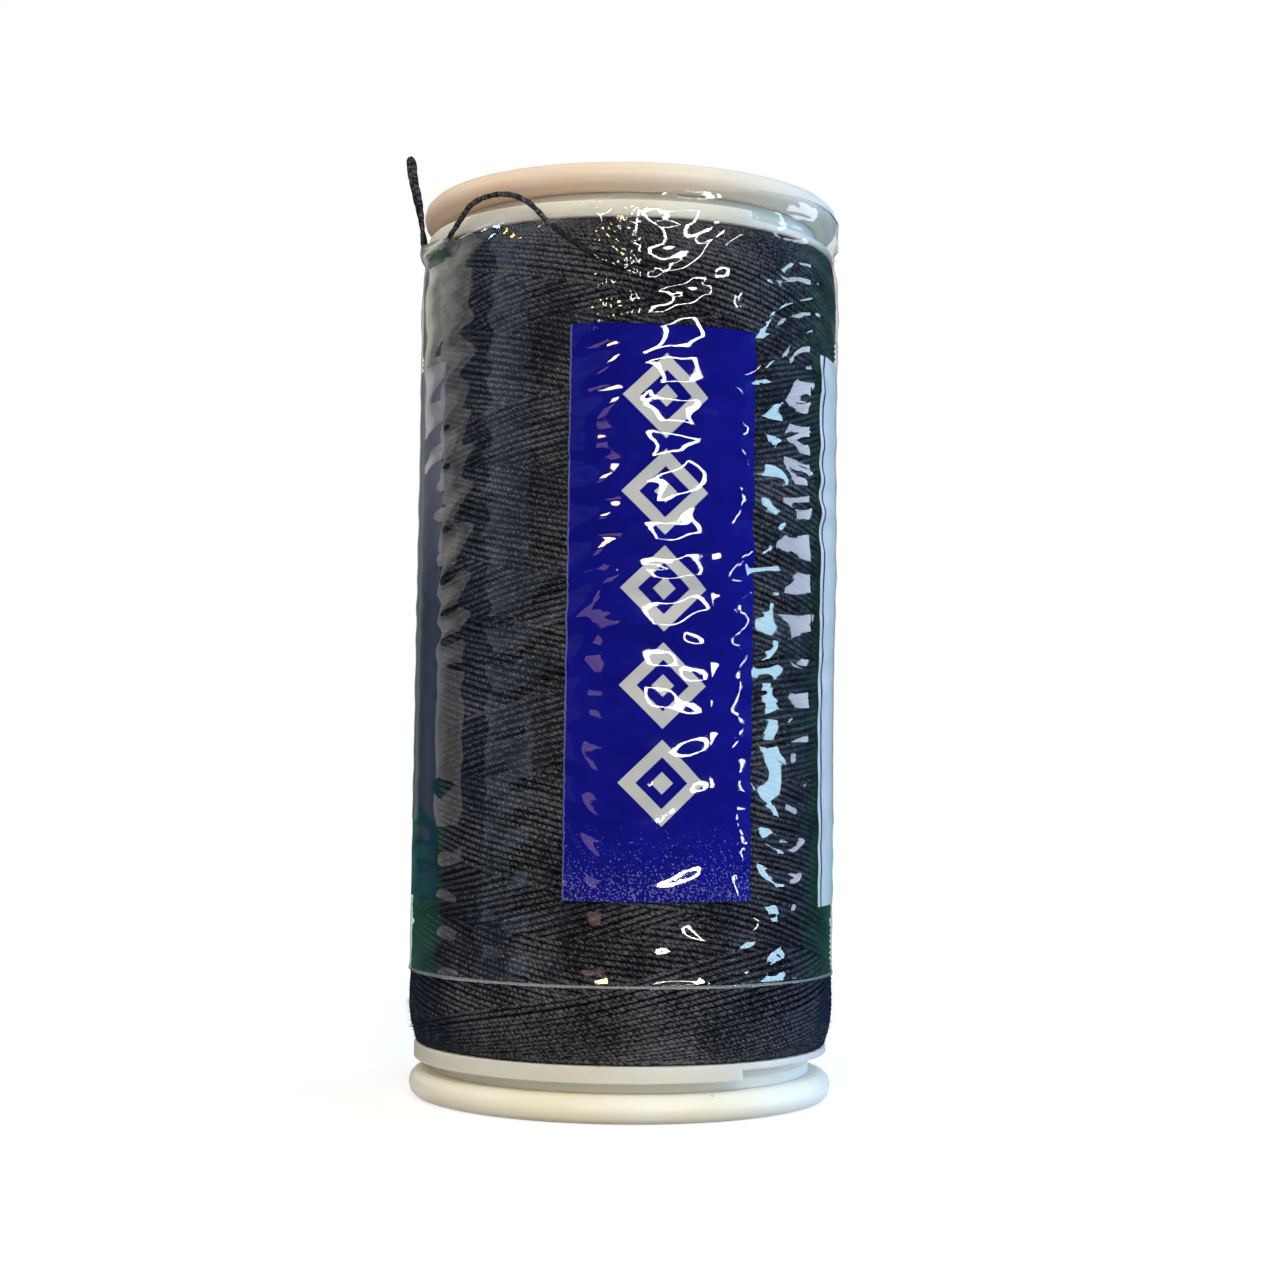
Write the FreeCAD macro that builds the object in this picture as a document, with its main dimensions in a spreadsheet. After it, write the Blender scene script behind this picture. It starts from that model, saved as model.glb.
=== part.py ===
import FreeCAD, Part
import math
import os
import Sketcher
from FreeCAD import Placement, Rotation, Vector

# A spool of sewing thread, in millimetres. The spool stands on the Z axis with its lower end
# face at Z = 0. The front is -Y and +X is to the right. Angles called "bearing" are measured
# from the front towards the right, seen from above.

doc = FreeCAD.newDocument("thread_spool")

# Driving sizes: name, value, what it is
SIZES = [
    ("overall_height", 48.8, "end face to end face"),
    ("rim_diameter", 23.0, "outer rim of each end cap"),
    ("rim_thickness", 1.43, "end cap, outer face to inner face"),
    ("rim_round", 0.65, "rounding of the outer rim's edges"),
    ("rim_facets", 3, "cones that make up each rounded edge"),
    ("groove_width", 0.6, "gap between outer rim and inner flange"),
    ("relief_depth", 0.5, "how much wider the gap is on one half turn"),
    ("parting_bearing", 34.0, "bearing where the wide half of the gap starts"),
    ("flange_inset", 0.25, "edge of the rim to edge of the inner flange"),
    ("flange_thickness", 0.87, "inner flange that holds the winding"),
    ("collar_inset", 0.95, "edge of the inner flange to the floor of the gap"),
    ("barrel_bore", 11.8, "inside of the tube"),
    ("barrel_wall", 1.35, "tube that the thread is wound on"),
    ("pin_hole", 8.0, "hole for the spool pin"),
    ("hole_chamfer", 0.25, "lead-in of the pin hole"),
    ("boss_wall", 1.3, "raised ring round the pin hole"),
    ("dish_margin", 2.0, "edge of the rim to the dished ring"),
    ("dish_depth", 0.45, "dished ring of the end face"),
    ("dish_draft", 0.2, "how far the dish's walls lean"),
    ("skirt_clearance", 0.06, "cap skirt in the tube, on the radius"),
    ("skirt_wall", 0.85, "cap skirt"),
    ("skirt_length", 5.2, "cap skirt, from the cap's inner face"),
    ("skirt_lead", 0.25, "taper at the skirt's tip, on the radius"),
    ("finger_count", 4, "spring fingers of the skirt"),
    ("finger_slot", 1.2, "slots that part the skirt into fingers"),
    ("slot_root", 0.9, "uncut skirt above the slots"),
    ("bead_height", 0.3, "snap bead, on the radius"),
    ("bead_depth", 3.4, "cap's inner face to the bead's flat"),
    ("bead_length", 0.8, "flat of the bead"),
    ("bead_clearance", 0.08, "bead in its channel"),
    ("cap_travel", 1.2, "how far an end cap pulls out"),
    ("winding_gap", 0.03, "thread mass to the moulding"),
    ("winding_inset", 0.05, "edge of the inner flange to the thread mass"),
    ("shoulder_drop", 0.4, "fall of the winding towards its ends"),
    ("shoulder_length", 1.8, "sloping end of the winding"),
    ("thread_diameter", 0.3, "sewing thread"),
    ("turn_count", 6, "outer turns of thread"),
    ("turn_margin", 2.6, "end of the winding to the first turn"),
    ("turn_lift", 0.02, "outer turns above the thread mass"),
    ("film_gap", 0.1, "film to the widest rim"),
    ("film_thickness", 0.05, "clear film"),
    ("film_foot", 6.8, "lower end face to the film's lower edge"),
    ("film_head", 0.8, "upper end face to the film's upper edge"),
    ("tear_depth", 3.9, "upper end face to the lowest point of the torn edge"),
    ("tear_radius", 16.0, "curve of the torn upper edge"),
    ("tear_bearing", -42.0, "middle of the torn upper edge"),
    ("lap_angle", 24.0, "overlap of the film at the back"),
]

# Places that follow from the driving sizes: name, formula. Heights of the barrel and the
# winding count from mid-height, heights of a cap from its outer face.
PLACES = [
    ("rim_radius", "sizes.rim_diameter / 2"),
    ("rim_edge", "rim_radius - sizes.rim_round"),
    ("flange_radius", "rim_radius - sizes.flange_inset"),
    ("collar_radius", "flange_radius - sizes.collar_inset"),
    ("bore_radius", "sizes.barrel_bore / 2"),
    ("barrel_radius", "bore_radius + sizes.barrel_wall"),
    ("cap_inner", "sizes.rim_thickness"),
    ("pin_radius", "sizes.pin_hole / 2"),
    ("boss_radius", "pin_radius + sizes.boss_wall"),
    ("boss_foot", "boss_radius + sizes.dish_draft"),
    ("dish_radius", "rim_radius - sizes.dish_margin"),
    ("dish_foot", "dish_radius - sizes.dish_draft"),
    ("dish_floor", "sizes.dish_depth"),
    ("skirt_radius", "bore_radius - sizes.skirt_clearance"),
    ("skirt_inside", "skirt_radius - sizes.skirt_wall"),
    ("skirt_tip_radius", "skirt_radius - sizes.skirt_lead"),
    ("skirt_end", "sizes.rim_thickness + sizes.skirt_length"),
    ("bead_radius", "skirt_radius + sizes.bead_height"),
    ("bead_near", "sizes.rim_thickness + sizes.bead_depth"),
    ("bead_far", "bead_near + sizes.bead_length"),
    ("bead_near_foot", "bead_near - sizes.bead_height"),
    ("bead_far_foot", "bead_far + sizes.bead_height"),
    ("slot_start", "sizes.rim_thickness + sizes.slot_root"),
    ("slot_end", "skirt_end + sizes.bead_height"),
    ("barrel_end", "sizes.overall_height / 2 - sizes.rim_thickness"),
    ("flange_outer", "barrel_end - sizes.groove_width"),
    ("flange_inner", "flange_outer - sizes.flange_thickness"),
    ("relief_floor", "flange_outer - sizes.relief_depth"),
    ("relief_mouth", "flange_outer + sizes.groove_width / 2"),
    ("relief_radius", "flange_radius + sizes.groove_width"),
    ("channel_radius", "bead_radius + sizes.bead_clearance"),
    ("channel_rise", "channel_radius - bore_radius"),
    ("channel_near", "barrel_end - sizes.bead_depth + sizes.cap_travel + sizes.bead_clearance"),
    ("channel_far", "barrel_end - sizes.bead_depth - sizes.bead_length - sizes.bead_clearance"),
    ("channel_near_foot", "channel_near + channel_rise"),
    ("channel_far_foot", "channel_far - channel_rise"),
    ("winding_bore", "barrel_radius + sizes.winding_gap"),
    ("winding_radius", "flange_radius - sizes.winding_inset"),
    ("winding_end", "flange_inner - sizes.winding_gap"),
    ("shoulder_radius", "winding_radius - sizes.shoulder_drop"),
    ("shoulder_start", "winding_end - sizes.shoulder_length"),
    ("film_inside", "rim_radius + sizes.film_gap + sizes.film_thickness"),
    ("film_outside", "film_inside + sizes.film_thickness"),
    ("film_height", "sizes.overall_height - sizes.film_head - sizes.film_foot"),
    ("lap_inside", "film_inside - sizes.film_thickness"),
    ("tear_middle", "sizes.overall_height - sizes.tear_depth + sizes.tear_radius"),
]

# Corners of the rim's rounding, step by step from an end face to the rim's side
RIM_FACETS = next(value for name, value, note in SIZES if name == "rim_facets")
for step in range(1, RIM_FACETS + 1):
    turn = 90 * step / RIM_FACETS
    PLACES += [
        (f"rim_radius_{step}", f"rim_edge + sizes.rim_round * sin({turn})"),
        (f"rim_low_{step}", f"sizes.rim_round * (1 - cos({turn}))"),
        (f"rim_high_{step}", f"sizes.rim_thickness - rim_low_{step}"),
    ]

# The free end of the thread, as x, y, z. It leaves the winding at the front, arches over the
# gap in the upper end, runs round to the left, stands up as a narrow doubled loop and ends
# bare, a little way down the outside of the film.
TAIL_ROUTE = [
    (-3.47, -10.08, 45.00), (-4.45, -10.68, 45.95), (-5.35, -10.78, 46.72), (-6.56, -10.15, 47.25),
    (-7.75, -9.28, 47.30), (-8.85, -8.20, 46.85), (-9.85, -6.90, 46.32), (-10.85, -5.10, 46.15),
    (-11.58, -2.95, 46.15), (-11.90, -0.90, 46.30), (-11.93, 0.50, 46.90), (-11.94, 1.25, 48.15),
    (-12.08, 1.45, 49.70), (-12.30, 1.50, 51.15), (-12.34, 1.50, 52.06), (-12.76, 1.50, 52.08),
    (-12.72, 1.52, 51.15), (-12.46, 1.85, 49.75), (-12.14, 2.35, 48.25), (-11.86, 2.85, 46.65),
    (-11.62, 3.30, 44.95), (-11.46, 3.65, 43.35), (-11.36, 3.95, 42.00),
]


def fill_sheet(name, rows, lead):
    sheet = doc.addObject("Spreadsheet::Sheet", name)
    for row, entry in enumerate(rows, start=1):
        sheet.set(f"A{row}", entry[0])
        sheet.set(f"B{row}", f"{lead}{entry[1]}")
        sheet.setAlias(f"B{row}", entry[0])
        if len(entry) > 2:
            sheet.set(f"C{row}", entry[2])
    return sheet


sizes = fill_sheet("sizes", SIZES, "")
places = fill_sheet("places", PLACES, "=")
doc.recompute()


def size(name):
    return float(sizes.get(name))


def place(name):
    return float(places.get(name))


def on_bearing(bearing, radius, height):
    angle = math.radians(bearing)
    return Vector(radius * math.sin(angle), -radius * math.cos(angle), height)


# Helpers for sketched bodies

def new_body(label):
    body = doc.addObject("PartDesign::Body", label)
    body.Label = label
    return body


def origin_part(body, role):
    return next(item for item in body.Origin.OriginFeatures if item.Role == role)


def new_sketch(body, name, role):
    sketch = body.newObject("Sketcher::SketchObject", name)
    sketch.AttachmentSupport = (origin_part(body, role), "")
    sketch.MapMode = "FlatFace"
    return sketch


def outline(body, name, corners):
    """A closed outline in the XZ plane. Each corner is a radius and a height, by name."""
    sketch = new_sketch(body, name, "XZ_Plane")
    points = [Vector(place(across), place(up) if up else 0.0, 0) for across, up in corners]
    count = len(points)
    for index in range(count):
        sketch.addGeometry(Part.LineSegment(points[index], points[(index + 1) % count]), False)
    for index in range(count):
        sketch.addConstraint(Sketcher.Constraint("Coincident", index, 2, (index + 1) % count, 1))
    for index, (across, up) in enumerate(corners):
        row = sketch.addConstraint(
            Sketcher.Constraint("DistanceX", -1, 1, index, 1, points[index].x))
        sketch.setExpression(f"Constraints[{row}]", f"places.{across}")
        if up is None:
            sketch.addConstraint(Sketcher.Constraint("PointOnObject", index, 1, -1))
            continue
        row = sketch.addConstraint(
            Sketcher.Constraint("DistanceY", -1, 1, index, 1, points[index].y))
        sketch.setExpression(f"Constraints[{row}]", f"places.{up}")
    return sketch


def turned(body, kind, name, sketch, angle=360.0):
    """A revolved solid or a revolved cut about the body's Z axis."""
    feature = body.newObject(f"PartDesign::{kind}", name)
    feature.Profile = sketch
    feature.ReferenceAxis = (origin_part(body, "Z_Axis"), [""])
    feature.Angle = angle
    doc.recompute()
    return feature


def circle_edges(shape, radius, height):
    """Names of the full or part circles of one radius at one height."""
    names = []
    for index, edge in enumerate(shape.Edges, start=1):
        curve = edge.Curve
        if not isinstance(curve, Part.Circle):
            continue
        if abs(curve.Radius - radius) < 1e-3 and abs(curve.Center.z - height) < 1e-3:
            names.append(f"Edge{index}")
    return names


# The moulded barrel: a tube with an inner flange at each end, and beyond each flange a collar
# that is the floor of the gap. The gap is wider on one half turn.

def spool_barrel():
    body = new_body("spool_barrel")
    half = outline(body, "barrel_half_profile", [
        ("bore_radius", None), ("barrel_radius", None), ("barrel_radius", "flange_inner"),
        ("flange_radius", "flange_inner"), ("flange_radius", "flange_outer"),
        ("collar_radius", "flange_outer"), ("collar_radius", "barrel_end"),
        ("bore_radius", "barrel_end")])
    turned(body, "Revolution", "barrel_half", half)
    channel = outline(body, "snap_channel_profile", [
        ("bore_radius", "channel_far_foot"), ("channel_radius", "channel_far"),
        ("channel_radius", "channel_near"), ("bore_radius", "channel_near_foot")])
    turned(body, "Groove", "snap_channel", channel)
    relief = outline(body, "gap_relief_profile", [
        ("collar_radius", "relief_floor"), ("relief_radius", "relief_floor"),
        ("relief_radius", "relief_mouth"), ("collar_radius", "relief_mouth")])
    turned(body, "Groove", "gap_relief", relief, 180.0)
    mirror = body.newObject("PartDesign::Mirrored", "both_ends")
    mirror.TransformMode = "Whole shape"
    mirror.MirrorPlane = (origin_part(body, "XY_Plane"), [""])
    body.Tip = mirror
    body.Placement = Placement(Vector(), Rotation(Vector(0, 0, 1), size("parting_bearing") - 90))
    body.setExpression(".Placement.Base.z", "sizes.overall_height / 2")
    doc.recompute()
    return body


# An end cap: a rounded rim, a dished face, the hole for the spool pin, and a skirt of four
# spring fingers whose bead snaps into the barrel.

def end_cap(label):
    body = new_body(label)
    steps = range(1, RIM_FACETS + 1)
    rim = [(f"rim_radius_{step}", f"rim_low_{step}") for step in steps]
    rim += [(f"rim_radius_{step}", f"rim_high_{step}") for step in reversed(steps)]
    profile = outline(body, f"{label}_profile", [
        ("pin_radius", None), ("rim_edge", None), *rim, ("rim_edge", "cap_inner"),
        ("skirt_radius", "cap_inner"), ("skirt_radius", "bead_near_foot"),
        ("bead_radius", "bead_near"), ("bead_radius", "bead_far"),
        ("skirt_radius", "bead_far_foot"), ("skirt_tip_radius", "skirt_end"),
        ("skirt_inside", "skirt_end"), ("skirt_inside", "cap_inner"), ("pin_radius", "cap_inner")])
    turned(body, "Revolution", f"{label}_blank", profile)
    dish = outline(body, f"{label}_dish_profile", [
        ("boss_radius", None), ("dish_radius", None), ("dish_foot", "dish_floor"),
        ("boss_foot", "dish_floor")])
    turned(body, "Groove", f"{label}_dish", dish)

    slot = outline(body, f"{label}_slot_outline", [
        ("pin_radius", "slot_start"), ("channel_radius", "slot_start"),
        ("channel_radius", "slot_end"), ("pin_radius", "slot_end")])
    cut = body.newObject("PartDesign::Pocket", f"{label}_slot")
    cut.Profile = slot
    cut.Type = "Length"
    cut.Midplane = True
    cut.setExpression("Length", "sizes.finger_slot")
    doc.recompute()
    slots = body.newObject("PartDesign::PolarPattern", f"{label}_slots")
    slots.Originals = [cut]
    slots.Axis = (origin_part(body, "Z_Axis"), [""])
    slots.Angle = 360
    slots.Occurrences = int(size("finger_count"))
    body.Tip = slots
    doc.recompute()
    lead = body.newObject("PartDesign::Chamfer", f"{label}_hole_lead")
    lead.Base = (slots, circle_edges(slots.Shape, place("pin_radius"), 0.0))
    lead.setExpression("Size", "sizes.hole_chamfer")
    doc.recompute()
    return body


# The wound thread: a plain mass under one unbroken outer layer

def thread_core():
    body = new_body("thread_core")
    half = outline(body, "winding_half_profile", [
        ("winding_bore", None), ("winding_radius", None), ("winding_radius", "shoulder_start"),
        ("shoulder_radius", "winding_end"), ("winding_bore", "winding_end")])
    turned(body, "Revolution", "winding_half", half)
    mirror = body.newObject("PartDesign::Mirrored", "whole_winding")
    mirror.TransformMode = "Whole shape"
    mirror.MirrorPlane = (origin_part(body, "XY_Plane"), [""])
    body.Tip = mirror
    body.setExpression(".Placement.Base.z", "sizes.overall_height / 2")
    doc.recompute()
    return body


def arc_from_tangent(start, tangent, end):
    chord = end - start
    along = Vector(chord).normalize()
    lean = math.acos(max(-1.0, min(1.0, tangent.dot(along))))
    bulge = (tangent - along * math.cos(lean)).normalize()
    middle = start + chord * 0.5 + bulge * (chord.Length / 2 * math.tan(lean / 2))
    return Part.Arc(start, middle, end).toShape()


def biarc(start, start_way, end, end_way):
    """Two arcs that leave and arrive along the given unit tangents."""
    gap = end - start
    ways = start_way + end_way
    lead = 2 * (1 - start_way.dot(end_way))
    across = gap.dot(ways)
    reach = (-across + math.sqrt(across ** 2 + lead * gap.dot(gap))) / lead
    joint = (start + start_way * reach + end - end_way * reach) * 0.5
    back = arc_from_tangent(end, end_way * -1, joint)
    return [arc_from_tangent(start, start_way, joint), back]


def ring_of(centre, way, radius, sides):
    """A thread's section: a regular outline square to the way, with one corner outermost."""
    side = way.cross(Vector(0, 0, 1)).normalize()
    other = side.cross(way)
    corners = []
    for index in range(sides + 1):
        turn = 2 * math.pi * index / sides
        corners.append(centre + side * (radius * math.cos(turn)) + other * (radius * math.sin(turn)))
    corners[-1] = corners[0]
    return Part.makePolygon(corners)


QUARTERS = 4
TURN_SIDES = 3


def thread_outer_turns():
    turns = int(size("turn_count"))
    radius = place("winding_radius") + size("thread_diameter") / 2 + size("turn_lift")
    middle = size("overall_height") / 2
    low = middle - place("winding_end") + size("turn_margin")
    pitch = 2 * (middle - low) / turns
    first = 90.0

    def point(quarter):
        return on_bearing(first + 90.0 * quarter, radius, low + pitch * quarter / QUARTERS)

    def way(quarter):
        angle = math.radians(first + 90.0 * quarter)
        around = Vector(math.cos(angle), math.sin(angle), 0) * (2 * math.pi * radius)
        return (around + Vector(0, 0, pitch)).normalize()

    edges = []
    for quarter in range(turns * QUARTERS):
        edges += biarc(point(quarter), way(quarter), point(quarter + 1), way(quarter + 1))
    path = Part.Wire(edges)
    section = ring_of(point(0), way(0), size("thread_diameter") / 2, TURN_SIDES)
    solid = path.makePipeShell([section], True, False)

    # Least gap from one turn to the next, on points of the centre line
    samples = [edge.valueAt(edge.FirstParameter + (edge.LastParameter - edge.FirstParameter) * part)
               for edge in path.OrderedEdges for part in (0.0, 0.5)]
    apart = QUARTERS * 2
    least = min((a - b).Length for i, a in enumerate(samples) for b in samples[i + apart:])
    print("outer turns:", turns, "pitch", round(pitch, 2), "least gap",
          round(least - size("thread_diameter"), 2), "mm")
    feature = doc.addObject("Part::Feature", "thread_outer_turns")
    feature.Label = "thread_outer_turns"
    feature.Shape = solid
    return feature


TAIL_SIDES = 6
ARC_SHARE = 0.45


def thread_tail():
    """A tube along straight runs joined by tangent arcs."""
    route = [Vector(*point) for point in TAIL_ROUTE]
    pieces, radii, cursor = [], [], route[0]
    for before, corner, after in zip(route, route[1:], route[2:]):
        inward, outward = (before - corner), (after - corner)
        shorter = min(inward.Length, outward.Length)
        turn = math.pi - inward.getAngle(outward)
        radii.append(ARC_SHARE * shorter / math.tan(turn / 2))
        to_way, from_way = Vector(inward).normalize(), Vector(outward).normalize()
        start, end = corner + to_way * (ARC_SHARE * shorter), corner + from_way * (ARC_SHARE * shorter)
        pieces.append(Part.LineSegment(cursor, start).toShape())
        pieces.append(arc_from_tangent(start, to_way * -1, end))
        cursor = end
    pieces.append(Part.LineSegment(cursor, route[-1]).toShape())
    path = Part.Wire(pieces)
    first_way = (route[1] - route[0]).normalize()
    radius = size("thread_diameter") / 2
    section = ring_of(route[0], first_way, radius, TAIL_SIDES)
    solid = path.makePipeShell([section], True, False)
    area = 0.5 * TAIL_SIDES * radius ** 2 * math.sin(2 * math.pi / TAIL_SIDES)
    print("tail radii:", " ".join(f"{value:.2f}" for value in radii))
    print("tail length", round(path.Length, 2), "mm, volume", round(solid.Volume, 4),
          "against", round(area * path.Length, 4))
    feature = doc.addObject("Part::Feature", "thread_tail")
    feature.Label = "thread_tail"
    feature.Shape = solid
    return feature


# The clear film: a sleeve with its edges lapped at the back and its upper edge torn open

def film_drum(name, radius):
    shape = doc.addObject("Part::Cylinder", name)
    shape.setExpression("Radius", f"places.{radius}")
    shape.setExpression("Height", "places.film_height")
    shape.setExpression(".Placement.Base.z", "sizes.film_foot")
    return shape


def film_sleeve():
    outer = film_drum("film_outer", "film_outside")
    inner = film_drum("film_inner", "film_inside")
    tube = doc.addObject("Part::Cut", "film_tube")
    tube.Base = outer
    tube.Tool = inner
    lap = film_drum("lap_outer", "film_outside")
    lap.Placement = Placement(Vector(), Rotation(Vector(0, 0, 1), 90 - size("lap_angle") / 2))
    lap.setExpression("Angle", "sizes.lap_angle")
    lap.setExpression(".Placement.Base.z", "sizes.film_foot")
    core = film_drum("lap_inner", "lap_inside")
    strip = doc.addObject("Part::Cut", "film_lap")
    strip.Base = lap
    strip.Tool = core
    joined = doc.addObject("Part::Fuse", "film_lapped")
    joined.Base = tube
    joined.Tool = strip
    tear = doc.addObject("Part::Cylinder", "tear_cutter")
    outward = on_bearing(size("tear_bearing"), 1, 0)
    tear.Placement = Placement(Vector(), Rotation(Vector(0, 0, 1), outward))
    tear.setExpression("Radius", "sizes.tear_radius")
    tear.setExpression("Height", "2 * places.film_outside")
    tear.setExpression(".Placement.Base.z", "places.tear_middle")
    torn = doc.addObject("Part::Cut", "film_sleeve")
    torn.Base = joined
    torn.Tool = tear
    torn.Label = "film_sleeve"
    doc.recompute()
    return torn


def stand_cap(body, upper):
    if upper:
        body.Placement = Placement(Vector(), Rotation(Vector(1, 0, 0), 180))
        body.setExpression(".Placement.Base.z", "sizes.overall_height")
    doc.recompute()
    return body


nodes = [
    spool_barrel(),
    stand_cap(end_cap("bottom_end_cap"), False),
    stand_cap(end_cap("top_end_cap"), True),
    thread_core(),
    thread_outer_turns(),
    thread_tail(),
    film_sleeve(),
]
doc.recompute()

for item in doc.Objects:
    if "Invalid" in item.State or "Error" in item.State:
        raise RuntimeError(f"{item.Label} failed: {item.State}")
for node in nodes:
    if node.Shape.isNull() or not node.Shape.isValid() or len(node.Shape.Solids) != 1:
        raise RuntimeError(f"{node.Label} is not one valid solid")

os.makedirs("parts", exist_ok=True)
for node in nodes:
    node.Shape.exportStep(f"parts/{node.Label}.step")
    box = node.Shape.BoundBox
    print(f"{node.Label}: volume {node.Shape.Volume:.2f}",
          f"x {box.XMin:.2f} {box.XMax:.2f} y {box.YMin:.2f} {box.YMax:.2f}",
          f"z {box.ZMin:.2f} {box.ZMax:.2f}")
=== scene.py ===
import math

import bpy
import numpy as np
from mathutils import Matrix, Vector, noise

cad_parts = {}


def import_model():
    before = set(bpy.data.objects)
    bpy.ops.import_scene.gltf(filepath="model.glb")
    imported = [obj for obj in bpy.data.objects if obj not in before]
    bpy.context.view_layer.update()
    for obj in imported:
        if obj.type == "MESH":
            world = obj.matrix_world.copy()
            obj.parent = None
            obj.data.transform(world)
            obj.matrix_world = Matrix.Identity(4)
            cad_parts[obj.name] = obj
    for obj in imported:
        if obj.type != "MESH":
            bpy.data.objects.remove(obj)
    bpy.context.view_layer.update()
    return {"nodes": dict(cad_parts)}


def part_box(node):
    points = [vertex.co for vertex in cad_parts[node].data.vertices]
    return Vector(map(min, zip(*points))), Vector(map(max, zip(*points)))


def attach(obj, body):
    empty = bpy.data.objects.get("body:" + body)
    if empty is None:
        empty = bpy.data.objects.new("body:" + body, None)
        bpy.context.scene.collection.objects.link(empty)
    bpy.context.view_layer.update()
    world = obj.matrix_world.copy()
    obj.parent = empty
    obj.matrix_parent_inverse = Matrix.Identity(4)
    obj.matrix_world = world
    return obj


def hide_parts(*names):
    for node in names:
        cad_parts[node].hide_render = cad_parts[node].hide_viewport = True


# The looks of a small spool of sewing thread, in metres. The spool stands on the Z axis, its
# front is -Y and +X is to the right. A "bearing" is an angle round the Z axis, measured from
# the front towards the right: degrees in a named value, and radians in the work on points.

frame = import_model()

MM = 0.001
SEED = 7
rng = np.random.default_rng(SEED)

core_low, core_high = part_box("thread_core")
film_low, film_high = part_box("film_sleeve")
WINDING_FOOT, WINDING_HEAD = core_low.z, core_high.z
WINDING_MIDDLE = (WINDING_FOOT + WINDING_HEAD) / 2
RIM_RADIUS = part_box("top_end_cap")[1].x
FLANGE_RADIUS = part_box("spool_barrel")[1].x


# Helpers for shapes

SEED_STEP = 17.3
RIPPLE_COUNT = 16


def around(bearing, radius, height):
    """Points at a bearing in radians, a radius and a height."""
    return np.stack([radius * np.sin(bearing), -radius * np.cos(bearing),
                     height + 0 * bearing], axis=-1)


def lumps(points, size, seed=0.0):
    """Smooth noise from about -1 to 1; size is how large its lumps are along X, Y and Z."""
    scaled = points.reshape(-1, 3) / size + SEED_STEP * (seed + 1)
    values = [noise.noise(place) for place in scaled.tolist()]
    return np.array(values).reshape(points.shape[:-1])


def wobble(along, size, seed):
    """Smooth noise from about -1 to 1 along a line; size is how long its lumps are."""
    return lumps(np.stack([along, 0 * along, 0 * along], axis=-1), (size, 1, 1), seed)


def hill(value, low, high, soft):
    """1 between low and high, falling to 0 over a soft margin outside."""
    rise = np.clip((value - low) / soft + 1, 0, 1)
    fall = np.clip((high - value) / soft + 1, 0, 1)
    return rise * rise * (3 - 2 * rise) * fall * fall * (3 - 2 * fall)


def hills(start, value, rows):
    """A start value plus a hill for each row of amount, low, high and soft margin."""
    return sum((amount * hill(value, low, high, soft) for amount, low, high, soft in rows), start)


def ripples(across, up, wave_across, wave_up, slant, seed):
    """Smooth ripples of about -1 to 1, as a sum of plain waves that run up within a slant."""
    own = np.random.default_rng(seed)
    total = 0 * across
    for _ in range(RIPPLE_COUNT):
        stretch = own.uniform(0.75, 1.4)
        turn = math.pi / 2 + own.uniform(-slant, slant)
        start = own.uniform(0, 2 * math.pi)
        way = math.cos(turn) * across / wave_across + math.sin(turn) * up / wave_up
        total = total + np.sin(2 * math.pi * stretch * way + start)
    return total * math.sqrt(2 / RIPPLE_COUNT)


def unit(vectors):
    return vectors / np.linalg.norm(vectors, axis=-1, keepdims=True)


def outward(points):
    """Unit vectors that point away from the Z axis."""
    return unit(points * (1, 1, 0))


def distances(points):
    """How far along a line each of its points lies."""
    return np.concatenate([[0], np.cumsum(np.linalg.norm(np.diff(points, axis=0), axis=1))])


def quad_corners(rows, columns):
    """Row and column of the four corners of each quad, in arrays of rows by columns by 4."""
    row = np.arange(rows)[:, None, None] + np.array([0, 0, 1, 1])
    column = np.arange(columns)[None, :, None] + np.array([0, 1, 1, 0])
    return np.broadcast_arrays(row, column)


def grid_faces(rows, columns, closed_rows=False, closed_columns=False):
    """Quads between the points of a grid that is stored row by row."""
    row, column = quad_corners(rows if closed_rows else rows - 1,
                               columns if closed_columns else columns - 1)
    return (row % rows * columns + column % columns).reshape(-1, 4)


def new_object(name, data):
    item = bpy.data.objects.new(name, data)
    bpy.context.scene.collection.objects.link(item)
    return item


def new_piece(name, points, faces, materials, body, slot, smooth=True):
    mesh = bpy.data.meshes.new(name)
    mesh.from_pydata(points.reshape(-1, 3).tolist(), [], faces)
    if smooth:
        mesh.shade_smooth()
    for material in materials:
        mesh.materials.append(material)
    piece = new_object(name, mesh)
    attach(piece, body)
    return piece


def tube(centres, side, up, half_width, half_height, sides, turn=0.0):
    """Points and faces of a closed tube. side and up are unit vectors across it at each centre."""
    angles = 2 * math.pi * np.arange(sides) / sides + turn
    across = np.cos(angles)[None, :, None] * side[:, None, :] * np.reshape(half_width, (-1, 1, 1))
    upright = np.sin(angles)[None, :, None] * up[:, None, :] * np.reshape(half_height, (-1, 1, 1))
    points = (centres[:, None, :] + across + upright).reshape(-1, 3)
    faces = grid_faces(len(centres), sides, closed_columns=True).tolist()
    last = (len(centres) - 1) * sides
    faces.append(list(range(sides))[::-1])
    faces.append(list(range(last, last + sides)))
    return points, faces


def joined(shapes):
    """The points and the faces of several shapes as those of one."""
    points, faces, first = [], [], 0
    for own_points, own_faces in shapes:
        points.append(own_points)
        faces += [[first + index for index in face] for face in own_faces]
        first += len(own_points)
    return np.concatenate(points), faces


def write_map(piece, name, values):
    """Gives a piece a UV map, with a pair of values for each corner of its faces."""
    layer = piece.data.uv_layers.new(name=name)
    layer.data.foreach_set("uv", values.astype(np.float32).ravel())


def wall_map(length, sides):
    """A tube's wall in a UV map: metres along it, and from 0 to 1 round it."""
    row, column = quad_corners(len(length) - 1, sides)
    return np.stack([length[row], column / sides], axis=-1).reshape(-1, 2)


# Helpers for materials

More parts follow.
